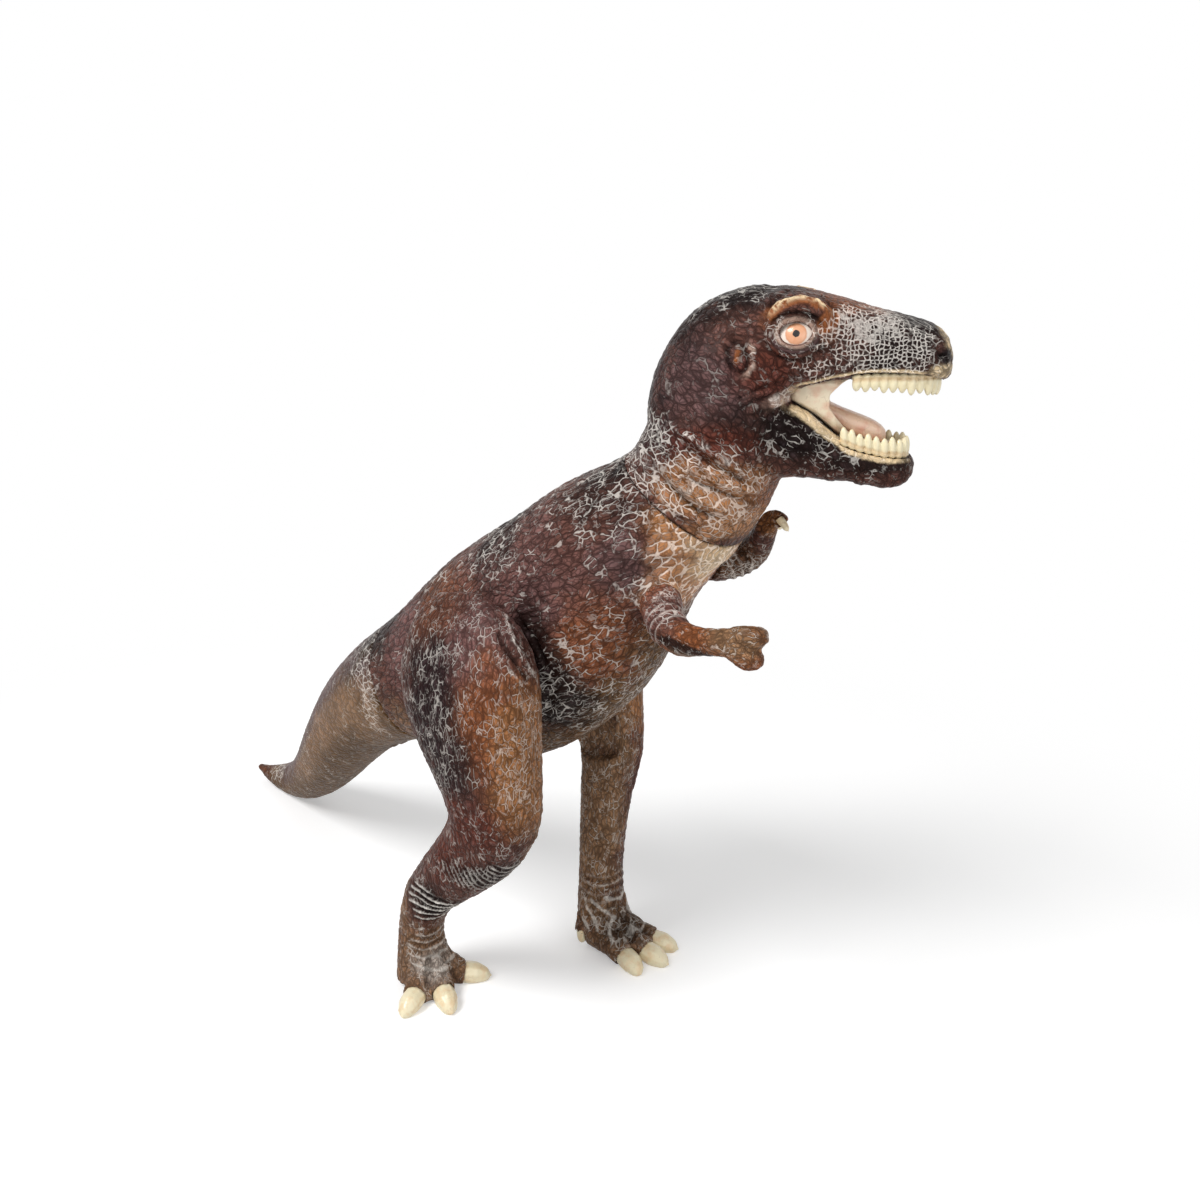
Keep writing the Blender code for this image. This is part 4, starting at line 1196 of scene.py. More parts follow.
    def _paint(self, clay: Clay, places: np.ndarray, crest: np.ndarray, hollow: np.ndarray,
               tints: list[tuple[Paint, np.ndarray, np.ndarray]]) -> None:
        """Spray the base paints, rub the wash on and keep both as attributes of the mesh.

        Args:
            clay: the skin of the moulding.
            places: its points on the moulding's axes.
            crest: how pale the folds are at each point, with a dry brush that on the ridges also stands in
                for a painted highlight.
            hollow: how much painted shade darkens them there.
            tints: the tinted folds: the paint, the points reached and how much they get.
        """
        ragged = (clouds(places, 0.8, 1) - 0.5) * 0.5 + (clouds(places, 0.25, 2) - 0.5) * 0.25
        colour = np.tile(self.base.value.linear(), (len(places), 1))
        marks = np.tile([self.wash, self.crease, self.breadth, 0.0], (len(places), 1))
        for spray in self.sprays:
            cover = spray.cover(places, ragged)[:, None]
            colour = colour * (1.0 - cover) + np.array(spray.paint.value.linear()) * cover
        for rub in self.rubs:
            cover = puff(places, rub.at, rub.reach, rub.soft, ragged)
            for lane, level in enumerate(rub.levels()):
                if level is not None:
                    marks[:, lane] = marks[:, lane] * (1.0 - cover) + level * cover
        marks[:, 0] = np.maximum(marks[:, 0], crest)
        for tint, near, height in tints:
            cover = np.clip(height * TINT_GAIN, 0.0, 1.0)
            marks[near, 1] *= 1.0 - TINT_CLEARS * cover
            cover = cover[:, None]
            colour[near] = colour[near] * (1.0 - cover) + np.array(tint.value.linear()) * cover
        # Painted shade: darken the bottoms of the folds.
        colour[:, :3] *= (1.0 - HOLLOW_SHADE * np.clip(hollow, 0.0, 1.0))[:, None]
        # Chalk specks on the crests: a dry brush, and on the ridges a painted highlight.
        specks = CREST_SPECKS.of(places, crest * CREST_START)
        cover = np.clip(specks * crest, 0.0, 1.0)[:, None] * CREST_PALE
        colour = colour * (1.0 - cover) + np.array(Paint.CHALK.value.linear()) * cover
        Layer.COLOUR.keep(clay.piece, "paint", colour)
        Layer.COLOUR.keep(clay.piece, "marks", marks)


def torso() -> Moulding:
    """Return the torso moulding with its folds and paint."""
    return Moulding(
        "torso", "torso_shell", "torso", "painted_vinyl_brown", Measure.BODY, Paint.BARK, grain=0.85,
        keep_clear=("head_shell", "tail_shell", "right_leg_shell", "left_leg_shell", "right_arm_shell",
                    "left_arm_shell"),
        hide=VinylHide("vinyl_torso",
                       HideGrain(cell=3.7, small_cell=1.8, stretch=(0.62, 1.0, 1.15), tilt=28.0)),
        folds=(
            Fold(((1.55, 3.59, 19.96), (2.25, 3.70, 19.05), (2.96, 3.94, 18.31), (3.33, 3.46, 17.44),
                  (3.70, 3.14, 16.52)), 2.2, -1.5, dark=0.85),
            Fold(((2.05, 3.6, 20.1), (2.80, 3.7, 19.2), (3.50, 3.9, 18.4), (3.90, 3.5, 17.5),
                  (4.25, 3.1, 16.6)), 2.4, 0.7, pale=0.2),
            Fold(((2.6, 3.4, 21.0), (3.5, 3.6, 20.0), (4.2, 3.7, 18.9), (4.6, 3.4, 17.8)), 1.8, -0.6,
                 dark=0.3),
            Fold(((8.7, 23.4), (8.9, 22.4), (8.8, 21.2), (8.6, 20.2)), 3.0, 0.8, pale=0.5),
            Fold(((7.3, 20.2), (8.0, 20.7), (8.7, 20.6)), 2.2, 0.6, pale=0.6),
            Fold(((6.9, 20.9), (7.9, 21.4), (8.8, 21.5)), 1.6, -0.5, dark=0.4),
            Fold(((6.6, 21.9), (7.8, 22.3), (8.8, 22.3)), 1.6, -0.5, dark=0.4),
        ),
        sprays=(
            Spray((1.5, 3.2, 20.5), (4.6, 3.0, 3.4), Paint.MAUVE, 0.55),
            Spray((5.4, 0.5, 24.4), (2.7, 3.0, 2.0), Paint.NIGHT, 1.0),
            Spray((0.0, 0.5, 21.8), (2.4, 3.0, 2.2), Paint.NIGHT, 0.95),
            Spray((-4.0, 0.5, 18.8), (1.9, 2.6, 1.6), Paint.NIGHT, 0.6),
            Spray((-2.6, 2.8, 18.7), (2.3, 2.4, 1.8), Paint.RUST, 0.6),
            Spray((3.4, 3.4, 19.6), (2.0, 2.0, 1.8), Paint.MAUVE, 0.6),
            Spray((-7.3, 0.8, 16.2), (1.5, 3.0, 2.4), Paint.NIGHT, 0.9),
            Spray((-5.3, 2.8, 16.3), (1.5, 2.0, 2.2), Paint.MAUVE, 0.8),
            Spray((6.7, 2.4, 21.9), (1.7, 2.0, 1.7), Paint.PLUM, 0.9),
            Spray((5.4, 2.9, 18.5), (2.1, 2.4, 2.4), Paint.RUST, 0.95),
            Spray((8.0, 1.0, 17.6), (2.2, 3.6, 2.0), Paint.OLIVE, 0.95),
            Spray((5.2, 0.8, 15.2), (2.8, 3.4, 1.9), Paint.OLIVE, 0.95),
            Spray((1.5, 0.8, 13.2), (4.0, 3.6, 1.6), Paint.OLIVE, 0.9),
            Spray((-5.0, 0.5, 12.2), (3.4, 3.6, 1.9), Paint.CLAY, 0.7),
            Spray((8.7, 2.2, 21.6), (1.5, 3.2, 3.0), Paint.SAND, 0.95),
            Spray((8.2, 2.0, 23.6), (1.2, 3.2, 1.3), Paint.TAN, 0.8),
            Spray((9.2, 2.3, 21.0), (0.9, 2.6, 2.2), Paint.CREAM, 0.7),
            Spray((3.5, 3.4, 15.6), (1.6, 2.4, 2.6), Paint.NIGHT, 0.95),
            Spray((2.8, 3.6, 18.3), (1.1, 1.4, 2.4), Paint.NIGHT, 0.85),
        ),
        rubs=(
            Rub((5.4, 0.5, 24.2), (3.2, 3.6, 2.2), wash=0.70),
            Rub((0.0, 0.5, 21.7), (3.4, 3.4, 2.2), wash=0.62, breadth=0.5),
            Rub((-4.0, 0.5, 18.8), (2.0, 2.0, 1.4), wash=0.45),
            Rub((5.6, 2.9, 18.6), (2.2, 2.4, 2.2), wash=0.45),
            Rub((8.6, 2.0, 21.8), (1.7, 3.6, 3.2), wash=0.95, crease=0.55, breadth=1.0),
            Rub((5.0, 0.8, 15.2), (5.0, 3.6, 2.6), wash=0.55, breadth=0.4),
            Rub((3.6, 3.4, 15.9), (1.4, 2.0, 1.8), wash=0.6),
            Rub((5.4, 0.5, 24.2), (3.2, 3.6, 2.2), breadth=0.50),
        ),
    )


def tail() -> Moulding:
    """Return the tail moulding with its paint."""
    return Moulding(
        "tail", "tail_shell", "tail", "painted_vinyl_tail", Measure.TAIL, Paint.OLIVE, grain=0.75,
        keep_clear=("torso_shell",),
        hide=VinylHide("vinyl_tail", HideGrain(cell=3.4, small_cell=1.7, stretch=(0.7, 0.8, 1.0))),
        wash=0.26, crease=0.45, breadth=0.30, groove=0.16,
        folds=(
            Fold(((-9.6, 0.2, -3.0), (-9.2, 0.2, -3.1)), 3.0, 0.9),
            Fold(((-8.6, 0.4, -3.2), (-8.3, 0.3, -3.2)), 2.4, 0.8),
        ),
        sprays=(
            Spray((-8.6, 0.5, 2.6), (3.2, 4.0, 2.2), Paint.NIGHT, 0.95),
            Spray((-13.5, 0.5, 2.3), (5.0, 4.0, 2.3), Paint.PLUM, 0.95),
            Spray((-20.5, 0.3, 1.6), (5.6, 3.0, 1.7), Paint.PLUM, 0.95),
            Spray((-8.0, 3.2, 1.2), (1.6, 1.8, 1.6), Paint.PLUM, 0.6),
            Spray((-12.0, 2.4, 0.2), (4.6, 1.8, 1.4), Paint.CLAY, 0.9),
            Spray((-17.5, 2.0, 0.2), (3.6, 1.6, 1.1), Paint.MOSS, 0.8),
            Spray((-8.6, 2.4, -1.6), (1.8, 2.2, 1.4), Paint.CLAY, 0.7),
            Spray((-22.0, 1.0, -1.2), (3.4, 2.0, 1.0), Paint.OLIVE, 0.8),
            Spray((-15.0, 1.2, -2.2), (7.0, 3.0, 1.5), Paint.OLIVE, 0.8),
            Spray((-26.6, 0.3, 0.0), (1.4, 1.2, 1.2), Paint.WINE, 0.6),
        ),
        rubs=(
            Rub((-8.8, 1.0, 2.2), (1.8, 3.2, 1.8), wash=0.7, breadth=0.6),
            Rub((-24.8, 0.5, 0.9), (1.4, 1.4, 0.8), wash=0.95, breadth=0.7),
            Rub((-12.0, 2.4, 0.6), (3.4, 1.8, 1.0), wash=0.12),
            Rub((-7.9, 2.9, 0.2), (0.8, 2.2, 3.0), wash=0.85, breadth=0.6),
        ),
    )


EYE_SEAT = (3.00, 1.82, 4.50)
EYE_RADIUS = 0.88
LID_MIDDLE = (2.99, 4.76)
LID_ROLLS = ((0.670, 0.500, 0.125), (0.850, 0.680, 0.130), (1.020, 0.860, 0.115))
BROW_LINE = ((1.78, 2.5, 5.22), (1.95, 2.5, 5.46), (2.41, 2.4, 5.77), (3.06, 2.2, 5.95), (3.66, 2.2, 5.76),
             (4.02, 2.2, 5.36), (4.17, 2.3, 4.90), (4.20, 2.3, 4.66))
BROW_RADII = (0.10, 0.20, 0.26, 0.29, 0.30, 0.28, 0.20, 0.10)
BROW_SINK = 0.30                                     # share of its radius that the brow sinks in
LID_STEPS = 36
ROLL_SIDES = 10
CLEAR_OF_HEAD = 5.0                                  # aside, in centimetres, past the hide of the head
NET_MIDDLE = 4.15                                    # height of the axis that the net is rolled round
NET_RADIUS = 19.0                                    # from that axis to the hide, in millimetres


def hide_side(tree: BVHTree, side: float, forward: float, up: float) -> float:
    """Find how far out the head's solid reaches at a place.

    Args:
        tree: the head's faces.
        side: -1 for the right side, 1 for the left one.
        forward, up: the place, in centimetres on the skull's axes.

    Returns:
        The distance from the skull's middle plane, in centimetres.
    """
    start = head_point(forward, side * CLEAR_OF_HEAD, up)
    inward = (head_point(forward, 0.0, up) - start).normalized()
    hit = tree.ray_cast(start, inward)[0]
    return 0.0 if hit is None else CLEAR_OF_HEAD - (hit - start).length / CM


def roll(bm: bmesh.types.BMesh, line: list[Vector], radii: list[float], outward: Vector,
         closed: bool) -> None:
    """Lay a roll of clay along a line.

    Args:
        bm: the mesh under work.
        line: places along the roll, in the row frame.
        radii: radius at each place, in metres.
        outward: the way that the hide faces there.
        closed: whether the roll is a ring.
    """
    frames = []
    for number, spot in enumerate(line):
        last = len(line) - 1
        after = line[(number + 1) % len(line)] if closed or number < last else spot
        before = line[number - 1] if closed or number else spot
        turn = (after - before).normalized()
        across = outward.cross(turn).normalized()
        basis = Matrix((across, turn.cross(across), turn)).transposed().to_4x4()
        frames.append(Matrix.Translation(spot) @ basis @ Matrix.Scale(radii[number], 4))
    made = bmesh.ops.create_circle(bm, segments=ROLL_SIDES, radius=1.0, matrix=frames[0], cap_ends=not closed)
    first = list({edge for vert in made["verts"] for edge in vert.link_edges})
    edges, verts = first, made["verts"]
    for before, after in zip(frames, frames[1:]):
        grown = bmesh.ops.extrude_edge_only(bm, edges=edges)["geom"]
        verts = [item for item in grown if isinstance(item, bmesh.types.BMVert)]
        edges = [e for e in grown if isinstance(e, bmesh.types.BMEdge) and all(v in verts for v in e.verts)]
        bmesh.ops.transform(bm, matrix=after @ before.inverted(), verts=verts)
    if closed:
        bmesh.ops.bridge_loops(bm, edges=first + edges)
    else:
        bmesh.ops.contextual_create(bm, geom=edges)
    faces = {face for edge in first + edges for face in edge.link_faces}
    whole = set(faces)
    while faces:
        faces = {f for face in faces for edge in face.edges for f in edge.link_faces} - whole
        whole |= faces
    bmesh.ops.recalc_face_normals(bm, faces=list(whole))


@dataclass
class Head(Moulding):
    """The head moulding with its neck, lids, brows and the map of the muzzle's net."""

    def _extra(self, bm: bmesh.types.BMesh) -> None:
        """Lay the rolls of the eyelids and the brows on the hide."""
        tree = tree_of(self.node)
        origin = head_point(0.0, 0.0, 0.0)
        for side in (-1.0, 1.0):
            outward = (head_point(0.0, side, 0.0) - origin).normalized()
            for size in LID_ROLLS:
                self._lid(bm, tree, side, outward, size)
            line = []
            for place, radius in zip(BROW_LINE, BROW_RADII):
                spot, normal = tree.find_nearest(head_point(place[0], side * place[1], place[2]))[:2]
                line.append(spot - normal * radius * CM * BROW_SINK)
            middle = [a.lerp(b, 0.5) for a, b in zip(line, line[1:])]
            line = [p for pair in zip(line, middle) for p in pair] + line[-1:]
            radii = [r for a, b in zip(BROW_RADII, BROW_RADII[1:]) for r in (a * CM, (a + b) / 2.0 * CM)]
            roll(bm, line, radii + [BROW_RADII[-1] * CM], outward, False)

    def _lid(self, bm: bmesh.types.BMesh, tree: BVHTree, side: float, outward: Vector,
             size: tuple[float, float, float]) -> None:
        """Lay one ring of a lid, which hugs the eyeball and the hide round it.

        Args:
            bm: the mesh under work.
            tree: the head's faces.
            side: -1 for the right side, 1 for the left one.
            outward: the way that side of the head faces.
            size: half length, half height and radius of the ring, in centimetres.
        """
        line = []
        for step in range(LID_STEPS):
            angle = 2.0 * math.pi * step / LID_STEPS
            forward = LID_MIDDLE[0] + size[0] * math.cos(angle)
            up = LID_MIDDLE[1] + size[1] * math.sin(angle)
            room = EYE_RADIUS ** 2 - (forward - EYE_SEAT[0]) ** 2 - (up - EYE_SEAT[2]) ** 2
            ball = EYE_SEAT[1] + math.sqrt(room) if room > 0.0 else 0.0
            line.append(head_point(forward, side * max(ball, hide_side(tree, side, forward, up)), up))
        roll(bm, line, [size[2] * CM] * LID_STEPS, outward, True)

    def _paint(self, clay: Clay, places: np.ndarray, crest: np.ndarray, hollow: np.ndarray,
               tints: list[tuple[Paint, np.ndarray, np.ndarray]]) -> None:
        """Paint as any moulding, and keep the lie of the muzzle's net, in millimetres.

        Args:
            clay, places, crest, hollow, tints: as for any moulding.
        """
        super()._paint(clay, places, crest, hollow, tints)
        angle = np.arctan2(places[:, 2] - NET_MIDDLE, np.maximum(places[:, 1], 0.01))
        sheet = np.stack([places[:, 0] * MM_PER_CM, angle * NET_RADIUS, np.zeros(len(places))], axis=1)
        Layer.PLACE.keep(clay.piece, "muzzle", sheet)


def arc(forward: float, up: float, start: float, end: float,
        count: int = 9) -> tuple[tuple[float, float], ...]:
    """Draw an oval arc round the eye, seen from the side.

    Args:
        forward, up: half axes, in centimetres.
        start, end: angles in degrees, 0 ahead and 90 above.
        count: how many points.

    Returns:
        The points, forward and up.
    """
    angles = [math.radians(start + (end - start) * step / (count - 1)) for step in range(count)]
    return tuple((LID_MIDDLE[0] + forward * math.cos(a), LID_MIDDLE[1] + up * math.sin(a)) for a in angles)


def head() -> Head:
    """Return the head moulding with its folds and paint."""
    sharp = Section.SHARP
    lower_lip = ((2.9, 2.2, 2.10), (3.43, 2.1, 1.90), (3.88, 2.0, 1.46), (4.33, 1.9, 1.05),
                 (4.78, 1.7, 0.72), (5.24, 1.6, 0.42), (5.77, 1.5, 0.24), (6.31, 1.4, 0.10),
                 (7.02, 1.1, -0.02), (7.58, 0.8, 0.0))
    return Head(
        "head", "head_shell", "head", "painted_vinyl_head", Measure.HEAD, Paint.BARK, grain=0.62, rounds=14,
        keep_clear=("torso_shell",),
        hide=VinylHide("vinyl_head",
                       HideGrain(cell=3.3, small_cell=1.7, stretch=(0.66, 1.0, 1.12), tilt=-31.0),
                       net=MuzzleNet()),
        wash=0.14, crease=0.80, breadth=0.6, groove=0.17,
        folds=(
            # neck
            Fold(((-1.54, 1.23), (-0.73, 0.89), (-0.15, 0.53), (0.39, 0.22), (0.92, -0.17), (1.83, -0.82)),
                 3.2, 2.6, pale=0.75),
            Fold(((-1.2, 0.55), (-0.5, 0.25), (0.1, -0.05), (0.8, -0.42), (1.7, -1.0)), 2.0, -2.0, sharp,
                 dark=0.8),
            Fold(((-0.9, -0.1), (-0.38, -0.40), (0.31, -0.69), (0.91, -0.95), (1.43, -1.08), (2.1, -1.32)),
                 3.2, 3.0, pale=0.5),
            Fold(((-1.0, -0.5), (-0.52, -0.79), (-0.10, -0.93), (0.32, -1.08), (0.72, -1.26), (1.5, -1.6)),
                 1.9, -2.2, sharp, dark=0.95),
            Fold(((-2.3, 0.1), (-1.66, -0.49), (-1.21, -0.88), (-0.66, -1.22), (-0.08, -1.51), (0.52, -1.81),
                  (0.9, -2.1)), 3.4, 3.0, pale=0.6),
            Fold(((-2.2, -0.5), (-1.44, -1.02), (-0.92, -1.47), (-0.49, -1.80), (-0.08, -2.04), (0.7, -2.3)),
                 1.9, -2.2, sharp, dark=0.95),
            Fold(((-1.9, -1.3), (-1.18, -1.87), (-0.64, -2.16), (-0.1, -2.4)), 2.6, 1.6, pale=0.3),
            Fold(((-2.75, 0.5), (-2.6, -0.2), (-2.1, -0.85)), 2.4, 1.6, pale=0.6),
            Fold(((-2.3, 1.1), (-2.0, 0.4), (-1.5, -0.1)), 1.6, -1.2, sharp, dark=0.7),
            Fold(((1.0, -1.5), (1.5, -1.75), (2.0, -1.9)), 2.4, 1.2, pale=0.4),
            # corner of the jaw
            Fold(((0.61, 2.10), (1.27, 2.50), (2.01, 2.80), (2.76, 2.98)), 1.4, -0.9, sharp, dark=0.7,
                 facing=0.3),
            Fold(((1.00, 1.85), (1.57, 2.26), (2.32, 2.46), (3.1, 2.5)), 1.4, -0.9, sharp, dark=0.7,
                 facing=0.3),
            Fold(((0.8, 1.98), (1.4, 2.38), (2.15, 2.63), (2.9, 2.74)), 1.4, 0.6, facing=0.3),
            Fold(((2.1, 2.08), (2.45, 2.22), (2.8, 2.36), (3.15, 2.50)), 3.4, 0.7, Section.FLAT,
                 tint=Paint.TAUPE, facing=0.2, pale=0.8),
            Fold(((1.5, 1.72), (1.9, 1.86), (2.35, 1.92), (2.8, 1.80), (3.3, 1.40)), 1.5, -1.0, sharp,
                 dark=0.9, facing=0.3),
            Fold(((1.6, 1.0), (2.4, 0.6), (3.4, 0.3), (4.6, 0.0)), 1.6, -0.5, dark=0.3, facing=0.3),
            # lips
            Fold(((2.9, 2.2, 2.62), (3.6, 2.0, 2.86), (4.6, 1.9, 3.02), (5.4, 1.9, 3.10), (6.4, 1.8, 3.20),
                  (7.4, 1.6, 3.24), (8.1, 1.3, 3.24)), 1.2, 0.5, tint=Paint.CREAM),
            Fold(lower_lip, 2.0, 0.6, Section.FLAT, tint=Paint.CREAM),
            Fold(tuple((f + 0.10, s - 0.15, u + 0.17) for f, s, u in lower_lip[:6]), 2.4, 0.0, Section.FLAT,
                 tint=Paint.CREAM),
            # underside of the jaw
            Fold(((2.2, -0.60), (2.6, -0.52)), 3.0, 0.8),
            Fold(((3.3, -0.60), (3.7, -0.72)), 3.0, 0.9),
            Fold(((4.4, -0.80), (4.8, -0.84)), 3.0, 0.9),
            Fold(((5.5, -1.00), (5.9, -1.04)), 3.0, 0.8),
            # brow
            Fold(BROW_LINE, 4.6, 0.0, Section.FLAT, tint=Paint.FOX),
            Fold(tuple((f, s, u + 0.02) for f, s, u in BROW_LINE[1:6]), 3.4, 0.3, tint=Paint.CREAM,
                 patchy=True),
            # Painted shadow: a dark arc in the recess under the brow, over the eye.
            Fold(arc(1.02, 0.76, 168, 8), 1.3, -1.2, dark=1.0),
            Fold(((1.75, 5.1), (2.05, 5.75), (2.8, 6.25), (3.7, 6.15), (4.35, 5.6), (4.45, 4.9)), 1.3, -0.8,
                 sharp, dark=0.9, facing=0.1),
            # wrinkles round the eye
            Fold(arc(0.715, 0.53, 0, 345, 16), 1.2, 0.0, Section.FLAT, tint=Paint.TAUPE, closed=True),
            Fold(arc(0.88, 0.70, 185, 355), 1.5, 0.0, tint=Paint.PLUM, facing=0.2),
            Fold(arc(0.78, 0.61, 0, 345, 16), 0.6, -0.4, dark=0.7, closed=True),
            Fold(arc(0.955, 0.785, 175, 365), 0.8, -0.6, dark=0.75, facing=0.2),
            Fold(arc(1.18, 1.02, 190, 350), 1.0, -0.8, dark=0.7, facing=0.2),
            # ear
            Fold(((0.84, 3.70), (0.90, 3.98)), 3.4, -0.8, Section.FLAT, facing=0.2),
            Fold(((0.52, 4.15), (0.82, 4.42), (1.08, 4.24), (1.26, 3.79), (1.18, 3.42), (0.94, 3.34),
                  (0.66, 3.55), (0.52, 3.88)), 1.5, -1.1, closed=True, dark=0.95, facing=0.2),
            Fold(((0.84, 3.60), (0.92, 4.14)), 1.7, 1.3, tint=Paint.FOX, facing=0.2),
            Fold(((0.30, 4.2), (0.65, 4.68), (1.15, 4.58)), 1.4, 0.8, facing=0.2),
            Fold(((1.30, 4.35), (1.46, 3.95), (1.42, 3.45), (1.1, 3.12)), 2.4, 0.5, tint=Paint.TAUPE,
                 patchy=True, facing=0.2, pale=0.5),
            # nose
            Fold(((8.42, 3.95), (8.46, 3.80)), 2.2, -1.3, Section.ROUND, dark=1.0),
            Fold(((8.25, 4.6), (8.5, 4.3), (8.62, 3.8)), 1.6, 0.7),
        ),
        sprays=(
            Spray((-0.6, 2.6, 3.2), (2.6, 1.9, 2.4), Paint.PLUM, 0.9),
            Spray((0.9, 2.3, 4.8), (1.5, 1.6, 1.1), Paint.BARK, 0.9),
            Spray((1.9, 2.6, 3.4), (1.3, 1.2, 1.0), Paint.WINE, 0.8),
            Spray((0.2, 0.0, 6.2), (3.2, 2.4, 1.3), Paint.NIGHT, 1.0),
            Spray((-1.6, 0.4, 5.2), (1.6, 2.2, 1.7), Paint.NIGHT, 0.85),
            Spray((-2.5, 0.2, 3.4), (1.0, 2.2, 2.0), Paint.DUSK, 0.9),
            Spray((1.6, 2.9, 1.2), (2.0, 1.6, 0.9), Paint.NIGHT, 0.6),
            Spray((3.6, 2.0, 0.9), (2.8, 1.9, 1.2), Paint.NIGHT, 1.0),
            Spray((5.8, 1.5, -0.2), (2.6, 1.8, 0.8), Paint.NIGHT, 0.9),
            Spray((6.9, 0.6, -1.1), (2.0, 1.8, 0.5), Paint.BARK, 0.8),
            Spray((3.6, 1.6, -0.9), (2.0, 1.8, 0.5), Paint.BARK, 0.6),
            Spray((6.4, 1.4, 4.2), (2.8, 2.2, 1.5), Paint.NIGHT, 0.95),
            Spray((4.9, 1.9, 4.3), (1.0, 1.2, 1.0), Paint.BARK, 0.5),
            Spray((4.9, 0.7, 5.7), (1.9, 1.2, 0.5), Paint.FOX, 0.75),
            Spray((7.4, 0.9, 5.0), (1.1, 1.4, 0.5), Paint.INK, 0.95),
            Spray((8.7, 0.2, 4.5), (0.50, 1.3, 0.75), Paint.CREAM, 0.95, 0.35),
            Spray((8.5, 0.9, 3.3), (0.65, 1.2, 0.32), Paint.CREAM, 0.9, 0.35),
            Spray((8.55, 1.2, 3.85), (0.36, 0.5, 0.34), Paint.INK, 0.98, 0.35),
            Spray((-0.2, 3.0, 0.6), (2.2, 2.2, 0.8), Paint.WINE, 0.8),
            Spray((0.2, 3.0, -1.0), (2.3, 2.6, 1.1), Paint.TAN, 0.85),
            Spray((0.9, 2.6, -2.0), (1.9, 2.8, 0.9), Paint.SAND, 0.7),
            Spray((2.2, 0.5, -1.5), (1.2, 2.4, 1.0), Paint.FOX, 0.6),
            # Sand on the collar's underside: the chest's colour carried on, and also lighter paint against
            # the shade on this downward face, which is painted light.
            Spray((0.8, 1.6, -2.7), (2.8, 3.2, 0.7), Paint.SAND, 0.9),
            Spray((-2.3, 1.0, 0.6), (1.2, 2.8, 1.6), Paint.DUSK, 0.85),
            # Painted shadow in the recess between the brow and the eye.
            Spray((3.3, 2.2, 5.3), (0.9, 0.8, 0.25), Paint.NIGHT, 0.8),
        ),
        rubs=(
            Rub((6.4, 1.6, 4.3), (2.6, 2.3, 1.6), net=0.95),
            Rub((5.2, 1.6, 4.9), (1.2, 1.6, 0.8), net=1.0),
            Rub((6.4, 1.6, 4.1), (2.6, 2.3, 1.6), wash=0.66),
            Rub((5.6, 1.3, 4.95), (2.2, 1.5, 0.75), wash=1.0),
            Rub((7.6, 0.8, 5.1), (1.0, 1.5, 0.5), net=0.25),
            Rub((4.2, 2.2, 3.3), (1.6, 1.4, 0.7), net=0.55),
            Rub((8.4, 1.0, 4.2), (0.5, 1.5, 1.0), net=0.2),
            Rub((4.4, 1.7, 0.6), (3.6, 2.0, 1.5), wash=0.36, breadth=0.4),
            Rub((-0.4, 3.0, -1.0), (3.0, 3.4, 1.6), wash=0.78, breadth=0.62),
            Rub((-0.2, 3.0, -1.0), (3.2, 3.4, 1.7), crease=0.7),
            Rub((-2.4, 1.0, 0.4), (1.3, 3.0, 1.4), wash=0.85, breadth=0.62),
            Rub((3.0, 2.4, 4.76), (1.15, 1.2, 0.95), crease=0.3, soft=0.3),
            Rub((3.0, 2.4, 4.7), (1.25, 1.2, 1.0), wash=0.5, breadth=0.3, soft=0.3),
            Rub((0.3, 0.4, 6.0), (2.4, 1.6, 0.9), wash=0.4),
            Rub((0.6, 2.8, -2.3), (1.6, 2.4, 0.7), wash=0.7),
        ),
    )


TOE_TOP = 0.9                                        # height of a toe at its claw, in centimetres
TOE_SLOPE = 1.3
TOE_SHARES = (-0.15, 0.2, 0.5, 0.8)                  # of the way from the claw to the ankle


def toes(bases: tuple[tuple[float, float], ...], ankle: tuple[float, float]) -> tuple[Fold, ...]:
    """Lay a low ridge along each toe and a valley between neighbours.

    Args:
        bases: where the claws leave the toes, forward and aside, in centimetres.
        ankle: where the toes meet.

    Returns:
        The folds of one foot.
    """
    def run(start: tuple[float, float]) -> tuple[tuple[float, float, float], ...]:
        """Return the line from a toe's end back up the foot."""
        return tuple((start[0] * (1 - s) + ankle[0] * s, start[1] * (1 - s) + ankle[1] * s,
                      TOE_TOP + TOE_SLOPE * s) for s in TOE_SHARES)

    between = [((a[0] + b[0]) / 2, (a[1] + b[1]) / 2) for a, b in zip(bases, bases[1:])]
    return (*(Fold(run(base), 4.2, 0.9, pale=0.15) for base in bases),
            *(Fold(run(gap), 2.6, -2.4, dark=0.35) for gap in between))


def thigh(*places: tuple[float, float, float]) -> tuple[Spray, ...]:
    """Return the sprays that both thighs share, each at its own place."""
    kinds = (
        ((2.2, 2.6, 2.2), Paint.MAUVE, 0.85),
        ((1.4, 2.4, 1.2), Paint.RUST, 0.6),
        ((1.8, 2.4, 3.2), Paint.FOX, 0.8),
        ((1.7, 3.4, 3.6), Paint.DUSK, 0.95),
        ((1.3, 2.6, 2.0), Paint.DUSK, 0.85),
        ((1.1, 2.6, 2.8), Paint.TAN, 0.9),
    )
    return tuple(Spray(place, *kind) for place, kind in zip(places, kinds))


